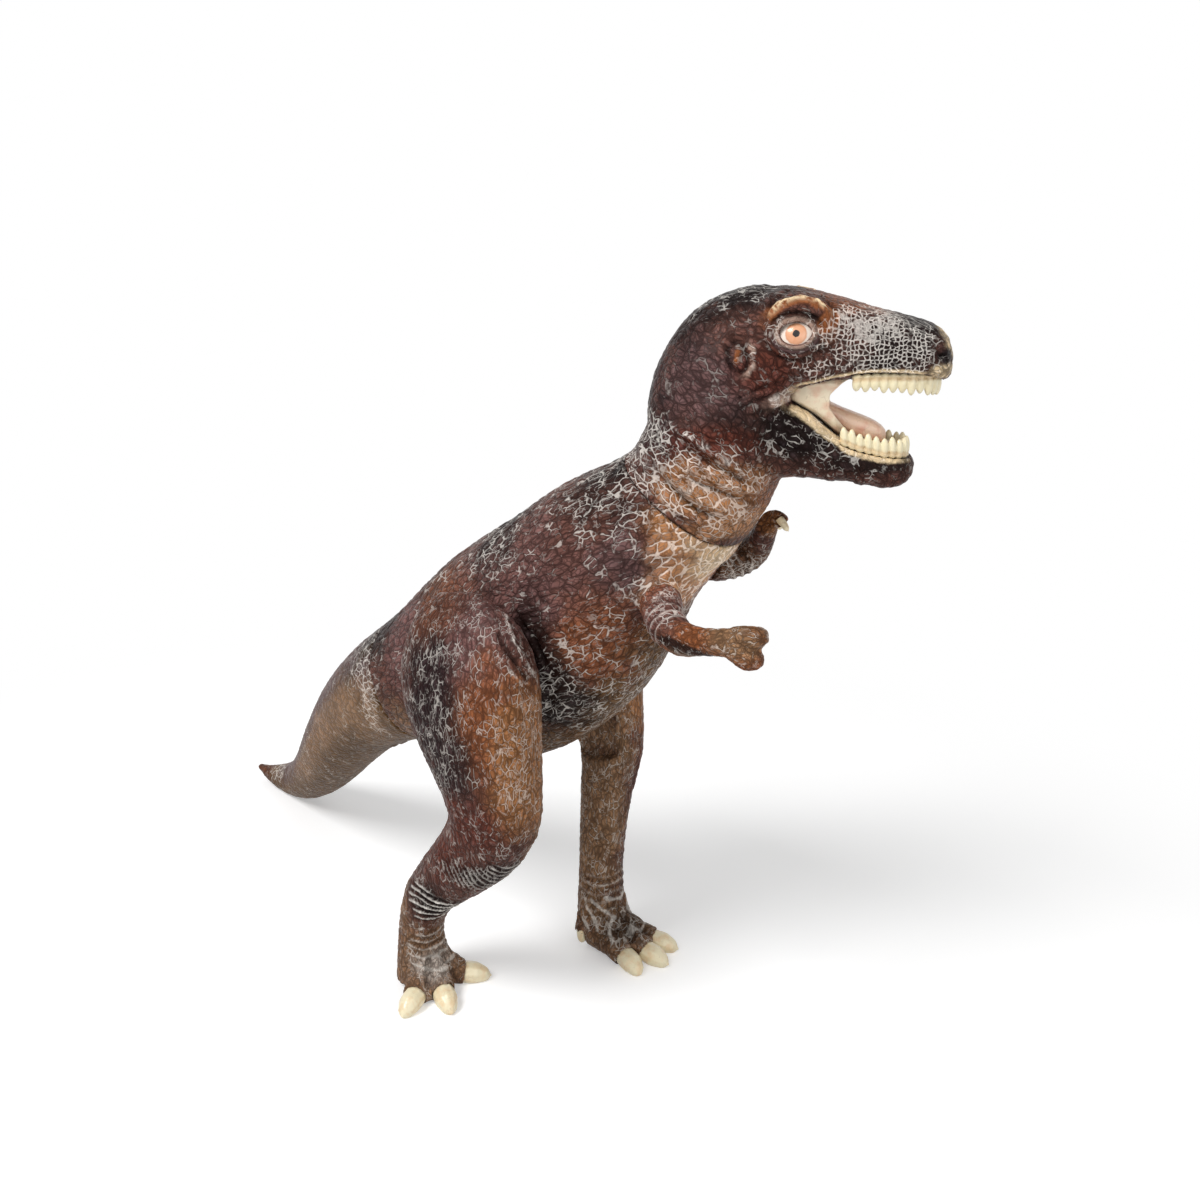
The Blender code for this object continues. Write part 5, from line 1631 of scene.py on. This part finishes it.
def leg(side: str) -> Moulding:
    """Dress one leg. The two differ in their stance, so each has its own places.

    Args:
        side: right or left.

    Returns:
        The leg moulding.
    """
    # The pale crests of the flank folds are a dry brush that also stands in for the highlight along the
    # thigh's front edge: painted highlight.
    flank = (
        Fold(((1.63, 4.33, 19.82), (2.69, 4.98, 19.24), (3.23, 5.04, 18.44), (3.51, 4.77, 17.71),
              (3.59, 4.33, 17.06)), 2.4, 1.3, pale=0.9),
        Fold(((1.90, 5.1, 19.5), (2.75, 5.45, 18.8), (3.32, 5.25, 17.9), (3.62, 4.8, 17.0)), 1.7, -1.5,
             dark=0.85),
        Fold(((2.39, 5.76, 18.98), (2.94, 5.82, 18.27), (3.57, 5.36, 17.30), (3.75, 4.60, 16.20)), 1.5, 0.6,
             pale=0.7),
        Fold(((0.9, 4.6, 19.6), (1.6, 5.3, 18.9), (2.2, 5.8, 18.0), (2.6, 6.0, 17.0)), 1.6, -0.8, dark=0.5),
    )
    # The inner side of the left leg, which lies in shade, gets the lighter clay instead of the right leg's
    # moss: painted light against that shade.
    inner = Spray((0.5, 2.6, 9.0), (5.0, 1.9, 8.0), Paint.MOSS if side == "right" else Paint.CLAY, 0.9, 0.4)
    if side == "right":
        folds = flank + toes(((-2.70, 5.71), (-1.96, 4.90), (-2.27, 3.38)), (-3.3, 4.4))
        bands = (
            Bands((-1.6, 5.2, 5.2), (0.1, 0.0, 1.0), 7, 0.38, 0.5, (1.5, 1.9, 1.5), pale=1.0, dark=0.6),
            Bands((1.7, 5.3, 8.1), (0.95, 0.0, 0.3), 22, 0.26, 0.3, (3.2, 1.6, 1.1), pale=0.7, dark=0.5),
            Bands((-2.4, 5.0, 2.4), (0.3, 0.0, 1.0), 6, 0.38, 0.35, (1.6, 2.0, 1.4), pale=0.6, dark=0.3),
        )
        sprays = (
            *thigh((1.4, 6.0, 18.4), (-0.6, 5.4, 19.2), (2.6, 6.3, 15.4), (-0.2, 6.0, 16.0), (1.1, 6.4, 13.4),
                   (3.7, 5.4, 14.4)),
            Spray((3.6, 5.0, 11.8), (1.4, 2.4, 1.7), Paint.TAN, 0.85),
            Spray((1.6, 6.0, 10.9), (1.7, 2.4, 1.4), Paint.WINE, 0.9),
            Spray((0.0, 5.6, 8.8), (2.0, 2.4, 1.9), Paint.WINE, 0.8),
            Spray((1.9, 5.4, 8.1), (2.8, 1.9, 0.9), Paint.NIGHT, 0.85),
            Spray((-1.5, 5.4, 5.4), (1.6, 1.7, 1.3), Paint.NIGHT, 0.95),
            Spray((-4.3, 4.6, 5.2), (1.1, 2.0, 2.6), Paint.CLAY, 0.85),
            Spray((-2.9, 4.6, 1.6), (3.0, 3.0, 2.4), Paint.CLAY, 0.75),
            Spray((-2.6, 4.7, 1.6), (1.0, 1.0, 0.9), Paint.CHALK, 0.45),
            inner,
        )
        rubs = (
            Rub((0.3, 6.4, 15.6), (2.0, 3.0, 4.2), wash=0.50),
            Rub((3.7, 5.2, 14.0), (1.2, 2.4, 3.2), wash=0.6),
            Rub((-1.6, 5.4, 5.2), (1.8, 2.4, 2.0), wash=0.2),
        )
    else:
        folds = flank + toes(((3.44, 4.23), (3.70, 3.28), (3.17, 2.41)), (2.1, 3.3)) + (
            Fold(((0.2, 2.9, 3.75), (1.0, 2.5, 3.72), (1.9, 2.8, 3.65), (2.1, 3.6, 3.6), (1.9, 4.6, 3.6),
                  (1.0, 5.0, 3.65)), 1.3, 0.6, pale=0.9),
        )
        bands = (
            Bands((2.2, 3.4, 1.9), (0.75, 0.0, 0.66), 8, 0.42, 0.45, (1.9, 2.0, 1.3), pale=0.8, dark=0.35),
            Bands((1.2, 3.6, 3.2), (0.1, 0.0, 1.0), 5, 0.4, 0.3, (1.5, 2.0, 1.2), pale=0.25, dark=0.3),
        )
        sprays = (
            *thigh((1.0, 6.0, 18.4), (-0.8, 5.4, 19.2), (1.6, 6.3, 15.4), (-1.4, 6.0, 16.0), (0.2, 6.4, 13.4),
                   (2.6, 5.4, 13.4)),
            Spray((0.8, 6.0, 9.0), (1.7, 1.8, 3.0), Paint.WINE, 0.9),
            Spray((0.8, 5.2, 4.4), (1.4, 1.4, 1.4), Paint.NIGHT, 0.6),
            inner,
            Spray((2.4, 3.4, 1.2), (3.4, 3.0, 1.9), Paint.CLAY, 0.8),
            Spray((2.9, 3.3, 1.7), (1.3, 1.5, 0.8), Paint.NIGHT, 0.6),
        )
        rubs = (
            Rub((0.8, 3.0, 9.0), (2.4, 2.4, 6.0), wash=0.42),
            Rub((2.6, 3.4, 1.6), (1.8, 2.0, 1.2), wash=0.6, breadth=0.7),
        )
    return Moulding(
        f"{side}_leg", f"{side}_leg_shell", f"{side}_leg", f"painted_vinyl_{side}_leg", Measure.LIMB,
        Paint.BARK, grain=0.75, rounds=16, keep_clear=("torso_shell",), folds=folds, bands=bands,
        sprays=sprays, rubs=rubs, wash=0.36, crease=0.7, breadth=0.30,
        hide=VinylHide(f"vinyl_{side}_leg", HideGrain(cell=2.9, small_cell=1.5, stretch=(1.12, 1.0, 0.60)),
                       strength=0.68),
    )


def arm(side: str) -> Moulding:
    """Dress one arm.

    Args:
        side: right or left.

    Returns:
        The arm moulding with its creases and paint.
    """
    if side == "right":
        bands = (Bands((9.2, 3.2, 20.3), (0.6, 0.6, -0.2), 4, 0.4, 0.35, (1.3, 1.3, 1.3), pale=0.5,
                       dark=0.4),)
        sprays = (
            Spray((9.0, 3.0, 20.6), (1.8, 1.8, 1.5), Paint.MAUVE, 0.8),
            Spray((10.6, 3.9, 20.0), (1.9, 1.4, 0.32), Paint.NIGHT, 0.9, 0.3),
            Spray((11.0, 3.9, 19.4), (1.9, 1.4, 0.45), Paint.CLAY, 0.6),
            Spray((12.6, 4.4, 20.9), (1.3, 1.2, 0.9), Paint.CLAY, 0.9),
        )
        rubs = (Rub((8.9, 3.0, 21.0), (1.0, 1.2, 0.8), wash=0.7),)
        base = Paint.FOX
    else:
        bands = (Bands((7.6, 4.4, 20.8), (0.6, 0.6, 0.3), 4, 0.4, 0.3, (1.4, 1.4, 1.4), pale=0.5, dark=0.4),)
        sprays = (
            Spray((7.6, 4.2, 21.0), (1.8, 1.8, 1.2), Paint.OLIVE, 0.6),
            Spray((9.6, 3.8, 23.0), (0.9, 1.0, 0.8), Paint.TAN, 0.95),
        )
        rubs = (Rub((7.8, 4.2, 21.0), (1.6, 1.8, 1.2), wash=0.6),)
        base = Paint.BARK
    return Moulding(
        f"{side}_arm", f"{side}_arm_shell", f"{side}_arm", f"painted_vinyl_{side}_arm", Measure.LIMB, base,
        grain=0.55, rounds=12, keep_clear=("torso_shell",), bands=bands, sprays=sprays, rubs=rubs,
        wash=0.30, crease=0.7, breadth=0.32, groove=0.15,
        hide=VinylHide(f"vinyl_{side}_arm", HideGrain(cell=2.8, small_cell=1.5)),
    )


HAIR_PAINT = Tint(150, 118, 78)


@dataclass(frozen=True)
class CleanPaint:
    """A plain smooth paint with soft clouds of a second tint and a fine grain.

    Size is the width of the clouds and bump the depth of the grain, in millimetres, and hair is how many
    hair lines lie in a millimetre.
    """

    name: str
    main: Tint
    second: Tint
    size: float = 3.0
    share: float = 0.5
    rough: float = 0.35
    coat: float = 0.2
    bump: float = 0.05
    hair: float = 0.45

    def make(self) -> bpy.types.Material:
        """Return the finished material."""
        material, shader, w = new_material(self.name)
        place = w.vector("SCALE", w.place(), 1.0 / MM)
        cloud = w.rise(w.noise(place, 1.0 / self.size, 4.0), 0.42, 0.66)
        colour = w.mix(w.times(cloud, self.share), self.main.linear(), self.second.linear())
        edge = w.cells(w.vector("MULTIPLY", place, (1.0, 1.0, 0.5)), 1.0 / self.hair)
        hair = w.times(w.fall(edge, 0.0, 0.05 / self.hair), w.rise(w.noise(place, 0.3), 0.5, 0.6))
        fine = w.noise(place, 1.4, 3.0)
        w.feed(shader, {
            "Base Color": w.mix(w.times(hair, 0.25), colour, HAIR_PAINT.linear()),
            "Roughness": w.scaled(fine, 0.15, self.rough - 0.07),
            "Coat Weight": self.coat,
            "Coat Roughness": 0.2,
        })
        w.relief(shader, w.times(fine, self.bump))
        return material


@dataclass
class SmoothPiece:
    """A small fitted piece, cast again from its solid with a fine, smooth skin, grain millimetres wide."""

    name: str
    node: str
    body: str
    slot: str
    finish: CleanPaint
    grain: float = 0.45
    rounds: int = 10

    def build(self) -> bpy.types.Object:
        """Make, dress and place the piece."""
        piece = recast(taken_off(merged(self.node), self.name), self.grain)
        clay = Clay(piece)
        clay.relax(self.rounds)
        self._work(clay)
        clay.write()
        return placed(piece, self.finish.make(), self.body, self.node)

    def _work(self, clay: Clay) -> None:
        """Work the skin. A plain piece has only a slight unevenness."""
        clay.raise_by((clouds(clay.points / CM, 0.25, 7) - 0.5) * 0.10)


NAIL_STEPS = 13
NAIL_SLICE = 0.06                                    # half width of a slice, as a share of the length
NAIL_CHANGE = (0.6, 3.0)                             # least and most that a slice is scaled
NAIL_ENDS = 0.6                                      # of the half length: what lies past it is an end
NAIL_ROOT = slice(1, 4)                              # the slices that tell how thick the root is
NAIL_SWELL = 0.75                                    # share of the length that the girth swells
NAIL_TIP = 0.99                                      # share of its thickness that is gone at the tip


@dataclass
class Nail(SmoothPiece):
    """A claw, worked blunt and round from its solid.

    Girth and reach scale its thickness and length. The fuller it is, the later it thins to its tip.
    """

    girth: float = 1.0
    reach: float = 1.0
    fullness: float = 5.0

    def _work(self, clay: Clay) -> None:
        """Swell the claw to a blunt nail, with its root where it was."""
        middle = clay.points.mean(axis=0)
        away = clay.points - middle
        axis = np.linalg.eigh(away.T @ away)[1][:, 2]
        along = away @ axis
        radius = np.linalg.norm(away - along[:, None] * axis, axis=1)
        low, high = along.min(), along.max()
        if radius[along < low * NAIL_ENDS].max() < radius[along > high * NAIL_ENDS].max():
            axis, along = -axis, -along
            low, high = along.min(), along.max()
        share = (along - low) / (high - low)
        steps = np.linspace(0.0, 1.0, NAIL_STEPS)
        widest = np.array([radius[np.abs(share - s) < NAIL_SLICE].max() for s in steps])
        root = widest[NAIL_ROOT].max()
        swell = np.sin(math.pi * np.clip(steps / NAIL_SWELL, 0.0, 1.0))
        blunt = root * (1.0 + (self.girth - 1.0) * swell) * min(1.0, self.girth)
        blunt = blunt * np.sqrt(1.0 - steps ** self.fullness * NAIL_TIP)
        factor = np.clip(np.interp(share, steps, blunt / np.maximum(widest, 1e-6)), *NAIL_CHANGE)
        aside = (away - along[:, None] * axis) * factor[:, None]
        clay.points = middle + aside + (low + share * (high - low) * self.reach)[:, None] * axis
        clay.relax(3)
        super()._work(clay)


EYE_GAZE = (0.02, 1.0, 0.31)                         # forward, aside and up, on the skull's axes
EYE_WHITE = (Tint(240, 228, 216), Tint(218, 196, 178))
EYE_IRIS = (Tint(214, 142, 98), Tint(234, 182, 146))
EYE_RING = Tint(206, 140, 100)
EYE_CORNER = Tint(120, 84, 70)
EYE_PUPIL = Tint(20, 14, 12)


@dataclass
class Eye:
    """A glossy painted eyeball: white, orange iris with a dark ring, and a small pupil.

    Iris and pupil are radii, iris_soft is the iris's faded edge, swell is how far it stands proud and
    corner is where the white darkens, all in millimetres.
    """

    side: str
    iris: float = 3.95
    iris_soft: float = 0.30
    pupil: float = 1.30
    swell: float = 0.30
    swell_reach: float = 1.5
    corner: tuple[float, float] = (5.6, 6.8)

    def build(self) -> bpy.types.Object:
        """Make, dress and place the eye."""
        sign = -1.0 if self.side == "right" else 1.0
        centre = head_point(EYE_SEAT[0], sign * EYE_SEAT[1], EYE_SEAT[2])
        gaze = head_point(EYE_GAZE[0], sign * EYE_GAZE[1], EYE_GAZE[2]) - head_point(0.0, 0.0, 0.0)
        turn = gaze.normalized().to_track_quat("Z", "Y").to_matrix().to_4x4()
        bm = bmesh.new()
        bmesh.ops.create_uvsphere(bm, u_segments=64, v_segments=48, radius=EYE_RADIUS * CM)
        sheet = []
        for vert in bm.verts:
            reach = math.hypot(vert.co.x, vert.co.y) / MM
            angle = math.atan2(vert.co.y, vert.co.x)
            share = min(1.0, reach / (self.iris * self.swell_reach))
            if vert.co.z <= 0.0:
                reach = EYE_RADIUS * MM_PER_CM
            elif share < 1.0:
                vert.co.z += self.swell * MM * (0.5 + 0.5 * math.cos(math.pi * share))
            sheet.append((reach * math.cos(angle), reach * math.sin(angle), 0.0))
        bmesh.ops.transform(bm, matrix=Matrix.Translation(centre) @ turn, verts=bm.verts)
        piece = taken_off(bm, f"{self.side}_eyeball")
        Layer.PLACE.keep(piece, "gaze", np.array(sheet))
        return placed(piece, self._paint(), "head", f"{self.side}_eye")

    def _paint(self) -> bpy.types.Material:
        """Return the painted gloss of the eye."""
        material, shader, w = new_material(f"eye_paint_{self.side}")
        sheet = w.attribute("gaze", "Vector")
        length = w.length(sheet)
        reach = w.calc("ADD", length, w.scaled(w.noise(sheet, 0.9, 3.0), 0.7, -0.35))
        cloud = w.noise(sheet, 0.5, 3.0)
        white = w.mix(w.times(cloud, 0.5), *(tint.linear() for tint in EYE_WHITE))
        iris = w.mix(cloud, *(tint.linear() for tint in EYE_IRIS))
        iris = w.mix(w.rise(reach, self.iris * 0.80, self.iris), iris, EYE_RING.linear())
        colour = w.mix(w.rise(reach, self.iris - self.iris_soft, self.iris + self.iris_soft), iris, white)
        colour = w.mix(w.times(w.rise(length, *self.corner), 0.8), colour, EYE_CORNER.linear())
        colour = w.mix(w.fall(reach, self.pupil - 0.1, self.pupil + 0.12), colour, EYE_PUPIL.linear())
        w.feed(shader, {"Base Color": colour, "Roughness": 0.28, "Coat Weight": 0.25, "Coat Roughness": 0.08})
        return material


TOOTH_IVORY = (Tint(244, 238, 206), Tint(232, 214, 172))
TOOTH_STAIN = Tint(206, 172, 124)
TOOTH_SEAT = 0.10                                    # centimetres that a tooth sits in the gum
TOOTH_DEPTH = 0.46                                   # half depth of a tooth, as a share of its width
TOOTH_THIN = (0.30, 2.4)                             # share that a tooth thins to its tip, and how late
TOOTH_BLUNT = 0.8
TOOTH_WAVE = 2.4
GUM_SEAT = -0.06
GUM_BEAD = Vector((1.5, 1.1, 1.0))                   # shape of the gum at one tooth


@dataclass
class TeethRow:
    """A row of blunt pegs set close together in a gum, as one moulded strip.

    The line is the right half of the gum on the skull's axes, in decimetres. Length and width of the
    teeth and radius of the gum are in centimetres, down is 1 for teeth that hang and -1 for those that
    stand. Taper is how much shorter the last teeth are and uneven how much the others differ, and grain
    is the width of a facet, in millimetres. The first tooth stands inset from the line's end, as a share
    of a tooth.
    """

    name: str
    node: str
    line: tuple[tuple[float, float, float], ...]
    count: int
    length: float
    width: float
    down: float
    slot: str = "tooth_ivory"
    gum: float = 0.13
    taper: float = 0.34
    uneven: float = 0.06
    grain: float = 0.30
    inset: float = 0.35

    def _places(self) -> list[tuple[Vector, Vector]]:
        """Return the place and the run of the gum at each tooth, right side first."""
        right = [Vector((f, -s, u)) * CM_PER_DM for f, s, u in self.line]
        left = [Vector((f, s, u)) * CM_PER_DM for f, s, u in reversed(self.line[:-1])]
        points = right + left
        lengths = [0.0]
        for a, b in zip(points, points[1:]):
            lengths.append(lengths[-1] + (b - a).length)
        found = []
        for number in range(self.count):
            want = lengths[-1] * (number + self.inset) / (self.count - 1.0 + 2.0 * self.inset)
            index = max(i for i, l in enumerate(lengths[:-1]) if l <= want)
            share = (want - lengths[index]) / (lengths[index + 1] - lengths[index])
            a, b = points[index], points[index + 1]
            found.append((a.lerp(b, share), (b - a).normalized()))
        return found

    def build(self) -> bpy.types.Object:
        """Make, dress and place the row."""
        bm = bmesh.new()
        for number, (spot, run) in enumerate(self._places()):
            end = abs(2.0 * number / (self.count - 1) - 1.0)
            wave = 1.0 + self.uneven * math.sin(number * TOOTH_WAVE)
            long = self.length * (1.0 - self.taper * end) * wave
            self._peg(bm, spot, run, long)
            made = bmesh.ops.create_uvsphere(bm, u_segments=14, v_segments=10, radius=self.gum)
            self._set(bm, made["verts"], spot, run, GUM_BEAD, GUM_SEAT)
        piece = recast(taken_off(bm, self.name), self.grain)
        clay = Clay(piece)
        clay.relax(3)
        local = Measure.HEAD.of(clay.points)
        clay.write()
        line = np.array(self.line) * CM_PER_DM
        root = np.interp(local[:, 0], line[:, 0], line[:, 2])
        Layer.NUMBER.keep(piece, "tooth_height", np.abs(local[:, 2] - root) * MM_PER_CM)
        return placed(piece, self._paint(), "head", self.node)

    def _peg(self, bm: bmesh.types.BMesh, spot: Vector, run: Vector, long: float) -> None:
        """Add one blunt tooth.

        Args:
            bm: the mesh under work.
            spot: the place on the gum line.
            run: the way the line runs there.
            long: length of the tooth, in centimetres.
        """
        made = bmesh.ops.create_uvsphere(bm, u_segments=16, v_segments=12, radius=1.0)
        for vert in made["verts"]:
            thin = 1.0 - TOOTH_THIN[0] * (0.5 - 0.5 * vert.co.z) ** TOOTH_THIN[1]
            vert.co.z = math.copysign(abs(vert.co.z) ** TOOTH_BLUNT, vert.co.z)
            vert.co.x *= thin
            vert.co.y *= thin
        half = Vector((self.width / 2.0, self.width * TOOTH_DEPTH, long / 2.0))
        self._set(bm, made["verts"], spot, run, half, long / 2.0 - TOOTH_SEAT)

    def _set(self, bm: bmesh.types.BMesh, verts: list[bmesh.types.BMVert], spot: Vector, run: Vector,
             scale: Vector, drop: float) -> None:
        """Scale new points, turn them and move them to a place of the gum line.

        Args:
            bm: the mesh under work.
            verts: the new points, in centimetres.
            spot: the place on the gum line.
            run: the way the line runs there.
            scale: factor along the line, across it and upright.
            drop: how far they lie past the line, in centimetres.
        """
        along = (head_point(*run) - head_point(0.0, 0.0, 0.0)).normalized()
        upright = Vector((0.0, 0.0, 1.0)) * self.down
        across = upright.cross(along).normalized()
        basis = Matrix((along, across, upright)).transposed().to_4x4()
        size = Matrix.Diagonal((*(scale * CM), 1.0))
        place = head_point(*spot) - upright * drop * CM
        bmesh.ops.transform(bm, matrix=Matrix.Translation(place) @ basis @ size, verts=verts)

    def _paint(self) -> bpy.types.Material:
        """Return ivory teeth, stained where they meet the gum."""
        material, shader, w = new_material(self.name + "_ivory")
        place = w.vector("SCALE", w.place(), 1.0 / MM)
        cloud = w.noise(place, 0.5, 3.0)
        ivory = w.mix(cloud, *(tint.linear() for tint in TOOTH_IVORY))
        level = w.calc("ADD", w.attribute("tooth_height", "Fac"), w.scaled(cloud, 2.4, -1.2))
        colour = w.mix(w.times(w.fall(level, 0.2, 1.6), 0.7), ivory, TOOTH_STAIN.linear())
        w.feed(shader, {"Base Color": colour, "Roughness": 0.30, "Coat Weight": 0.3, "Coat Roughness": 0.15})
        w.relief(shader, w.times(w.noise(place, 1.2), 0.06))
        return material


UPPER_GUM = ((0.525, 0.157, 0.298), (0.620, 0.140, 0.302), (0.740, 0.120, 0.302), (0.808, 0.092, 0.302),
             (0.842, 0.048, 0.302), (0.850, 0.000, 0.302))
LOWER_GUM = ((0.490, 0.152, 0.064), (0.560, 0.135, 0.036), (0.657, 0.109, 0.010), (0.715, 0.078, 0.002),
             (0.744, 0.040, -0.002), (0.750, 0.000, -0.002))


def seen_directly(w: Wiring) -> bpy.types.NodeSocket:
    """Return 1 for rays from the camera and for those mirrored or let through, 0 for stray light."""
    path = w.node("ShaderNodeLightPath")
    mirrored = w.calc("MAXIMUM", path.outputs["Is Glossy Ray"], path.outputs["Is Transmission Ray"])
    return w.calc("MAXIMUM", path.outputs["Is Camera Ray"], mirrored)


@dataclass
class Studio:
    """A pale floor and backdrop, soft lamps and the camera.

    The camera looks at the aim, in metres, from the turn and the rise, in degrees, and the distance.
    The floor fades to pure white from the first to the second distance of the fade.
    """

    aim: tuple[float, float, float] = (0.0400, 0.0729, 0.1638)
    turn: float = 36.0
    rise: float = 18.0
    distance: float = 0.64
    lens: float = 38.7
    floor_size: float = 12.0
    fade: tuple[float, float] = (0.22, 0.50)

    def build(self) -> None:
        """Set the floor, the lamps and the camera."""
        self._floor()
        self._world()
        self._lamp("key", (-0.15, -0.95, 1.35), 0.6, 19.0)
        self._lamp("fill", (1.25, -0.35, 0.55), 0.9, 4.0)
        self._lamp("rim", (-0.9, 0.9, 1.0), 0.8, 1.2)
        self._camera()
        bpy.context.scene.view_settings.view_transform = "Standard"

    def _floor(self) -> None:
        """Lay a wide white floor that keeps the shadow and fades to pure white round the figure."""
        bm = bmesh.new()
        bmesh.ops.create_grid(bm, x_segments=2, y_segments=2, size=self.floor_size / 2.0)
        floor = taken_off(bm, "floor")
        material, shader, w = new_material("floor_white")
        seen = seen_directly(w)
        w.feed(shader, {
            "Base Color": (0.80, 0.80, 0.80, 1.0),
            "Roughness": 0.9,
            "Specular IOR Level": 0.1,
            "Emission Color": (1.0, 1.0, 1.0, 1.0),
            "Emission Strength": w.times(seen, 0.35),
        })
        glow = w.node("ShaderNodeEmission")
        far = w.node("ShaderNodeMixShader")
        away = w.rise(w.length(w.place()), *self.fade)
        for socket, value in zip(far.inputs, (w.times(seen, away), shader.outputs[0], glow.outputs[0])):
            w.put(socket, value)
        w.put(material.node_tree.nodes["Material Output"].inputs[0], far.outputs[0])
        floor.data.materials.append(material)

    def _world(self) -> None:
        """Light the room evenly and show white behind the floor."""
        world = bpy.data.worlds.new("room")
        world.use_nodes = True
        bpy.context.scene.world = world
        w = Wiring(world.node_tree)
        strength = w.scaled(seen_directly(w), 0.64, 0.36)
        w.feed(world.node_tree.nodes["Background"], {"Color": (1.0, 1.0, 1.0, 1.0), "Strength": strength})

    def _lamp(self, name: str, place: tuple[float, float, float], size: float, watts: float) -> None:
        """Hang one square soft lamp that looks at the figure.

        Args:
            name: name of the lamp.
            place: where it hangs, in metres.
            size: width of its face, in metres.
            watts: its power.
        """
        data = bpy.data.lights.new(name, "AREA")
        data.energy = watts
        data.size = size
        lamp = linked(name, data)
        lamp.location = place
        lamp.rotation_euler = (Vector(self.aim) - Vector(place)).to_track_quat("-Z", "Y").to_euler()

    def _camera(self) -> None:
        """Set the camera where the photograph was taken from."""
        turn, rise = math.radians(self.turn), math.radians(self.rise)
        back = Vector((math.sin(turn) * math.cos(rise), -math.cos(turn) * math.cos(rise), math.sin(rise)))
        data = bpy.data.cameras.new("camera")
        data.lens = self.lens
        data.sensor_width = 36.0
        data.clip_start = 0.01
        camera = linked("camera", data)
        camera.location = Vector(self.aim) + back * self.distance
        camera.rotation_euler = (-back).to_track_quat("-Z", "Y").to_euler()
        bpy.context.scene.camera = camera


def claws() -> list[SmoothPiece]:
    """Return the claws of the feet and the hands."""
    made = []
    for side in ("right", "left"):
        finish = CleanPaint(f"claw_ivory_{side}", Tint(238, 226, 192), Tint(226, 190, 140), size=4.0,
                            share=0.55, rough=0.34, coat=0.25)
        for toe in ("outer_toe", "middle_toe", "inner_toe", "spur"):
            girth = 1.0 if toe == "spur" else 1.10
            made.append(Nail(f"{side}_{toe}_nail", f"{side}_{toe}_claw", f"{side}_leg",
                             f"claw_ivory_{side}_foot", finish, grain=0.40, rounds=6, girth=girth,
                             reach=0.94))
        for finger in ("upper_finger", "lower_finger"):
            made.append(Nail(f"{side}_{finger}_nail", f"{side}_{finger}_claw", f"{side}_arm",
                             f"claw_ivory_{side}_hand", finish, grain=0.30, rounds=4, girth=0.88, reach=0.72,
                             fullness=3.0))
    return made


def main() -> None:
    """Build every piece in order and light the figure."""
    logging.basicConfig(level=logging.INFO, format="%(message)s")
    mouth = CleanPaint("mouth_cream", Tint(234, 218, 190), Tint(222, 176, 146), size=5.0, share=0.7,
                       rough=0.42, coat=0.15, bump=0.12)
    flesh = CleanPaint("tongue_pink", Tint(238, 204, 178), Tint(222, 164, 140), size=4.0, share=0.8,
                       rough=0.36, coat=0.25, bump=0.15)
    pieces = (
        torso(), tail(), head(), leg("right"), leg("left"), arm("right"), arm("left"),
        Eye("right"), Eye("left"),
        SmoothPiece("mouth_skin", "mouth_lining", "head", "mouth_cream", mouth),
        SmoothPiece("tongue_flesh", "tongue", "head", "tongue_pink", flesh),
        TeethRow("upper_row", "upper_teeth", UPPER_GUM, count=23, length=0.86, width=0.375, down=1.0),
        TeethRow("lower_row", "lower_teeth", LOWER_GUM, count=20, length=0.76, width=0.350, down=-1.0,
                 taper=0.14),
        *claws(),
    )
    for piece in pieces:
        piece.build()
    Studio().build()
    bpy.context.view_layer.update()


if __name__ == "__main__":
    main()
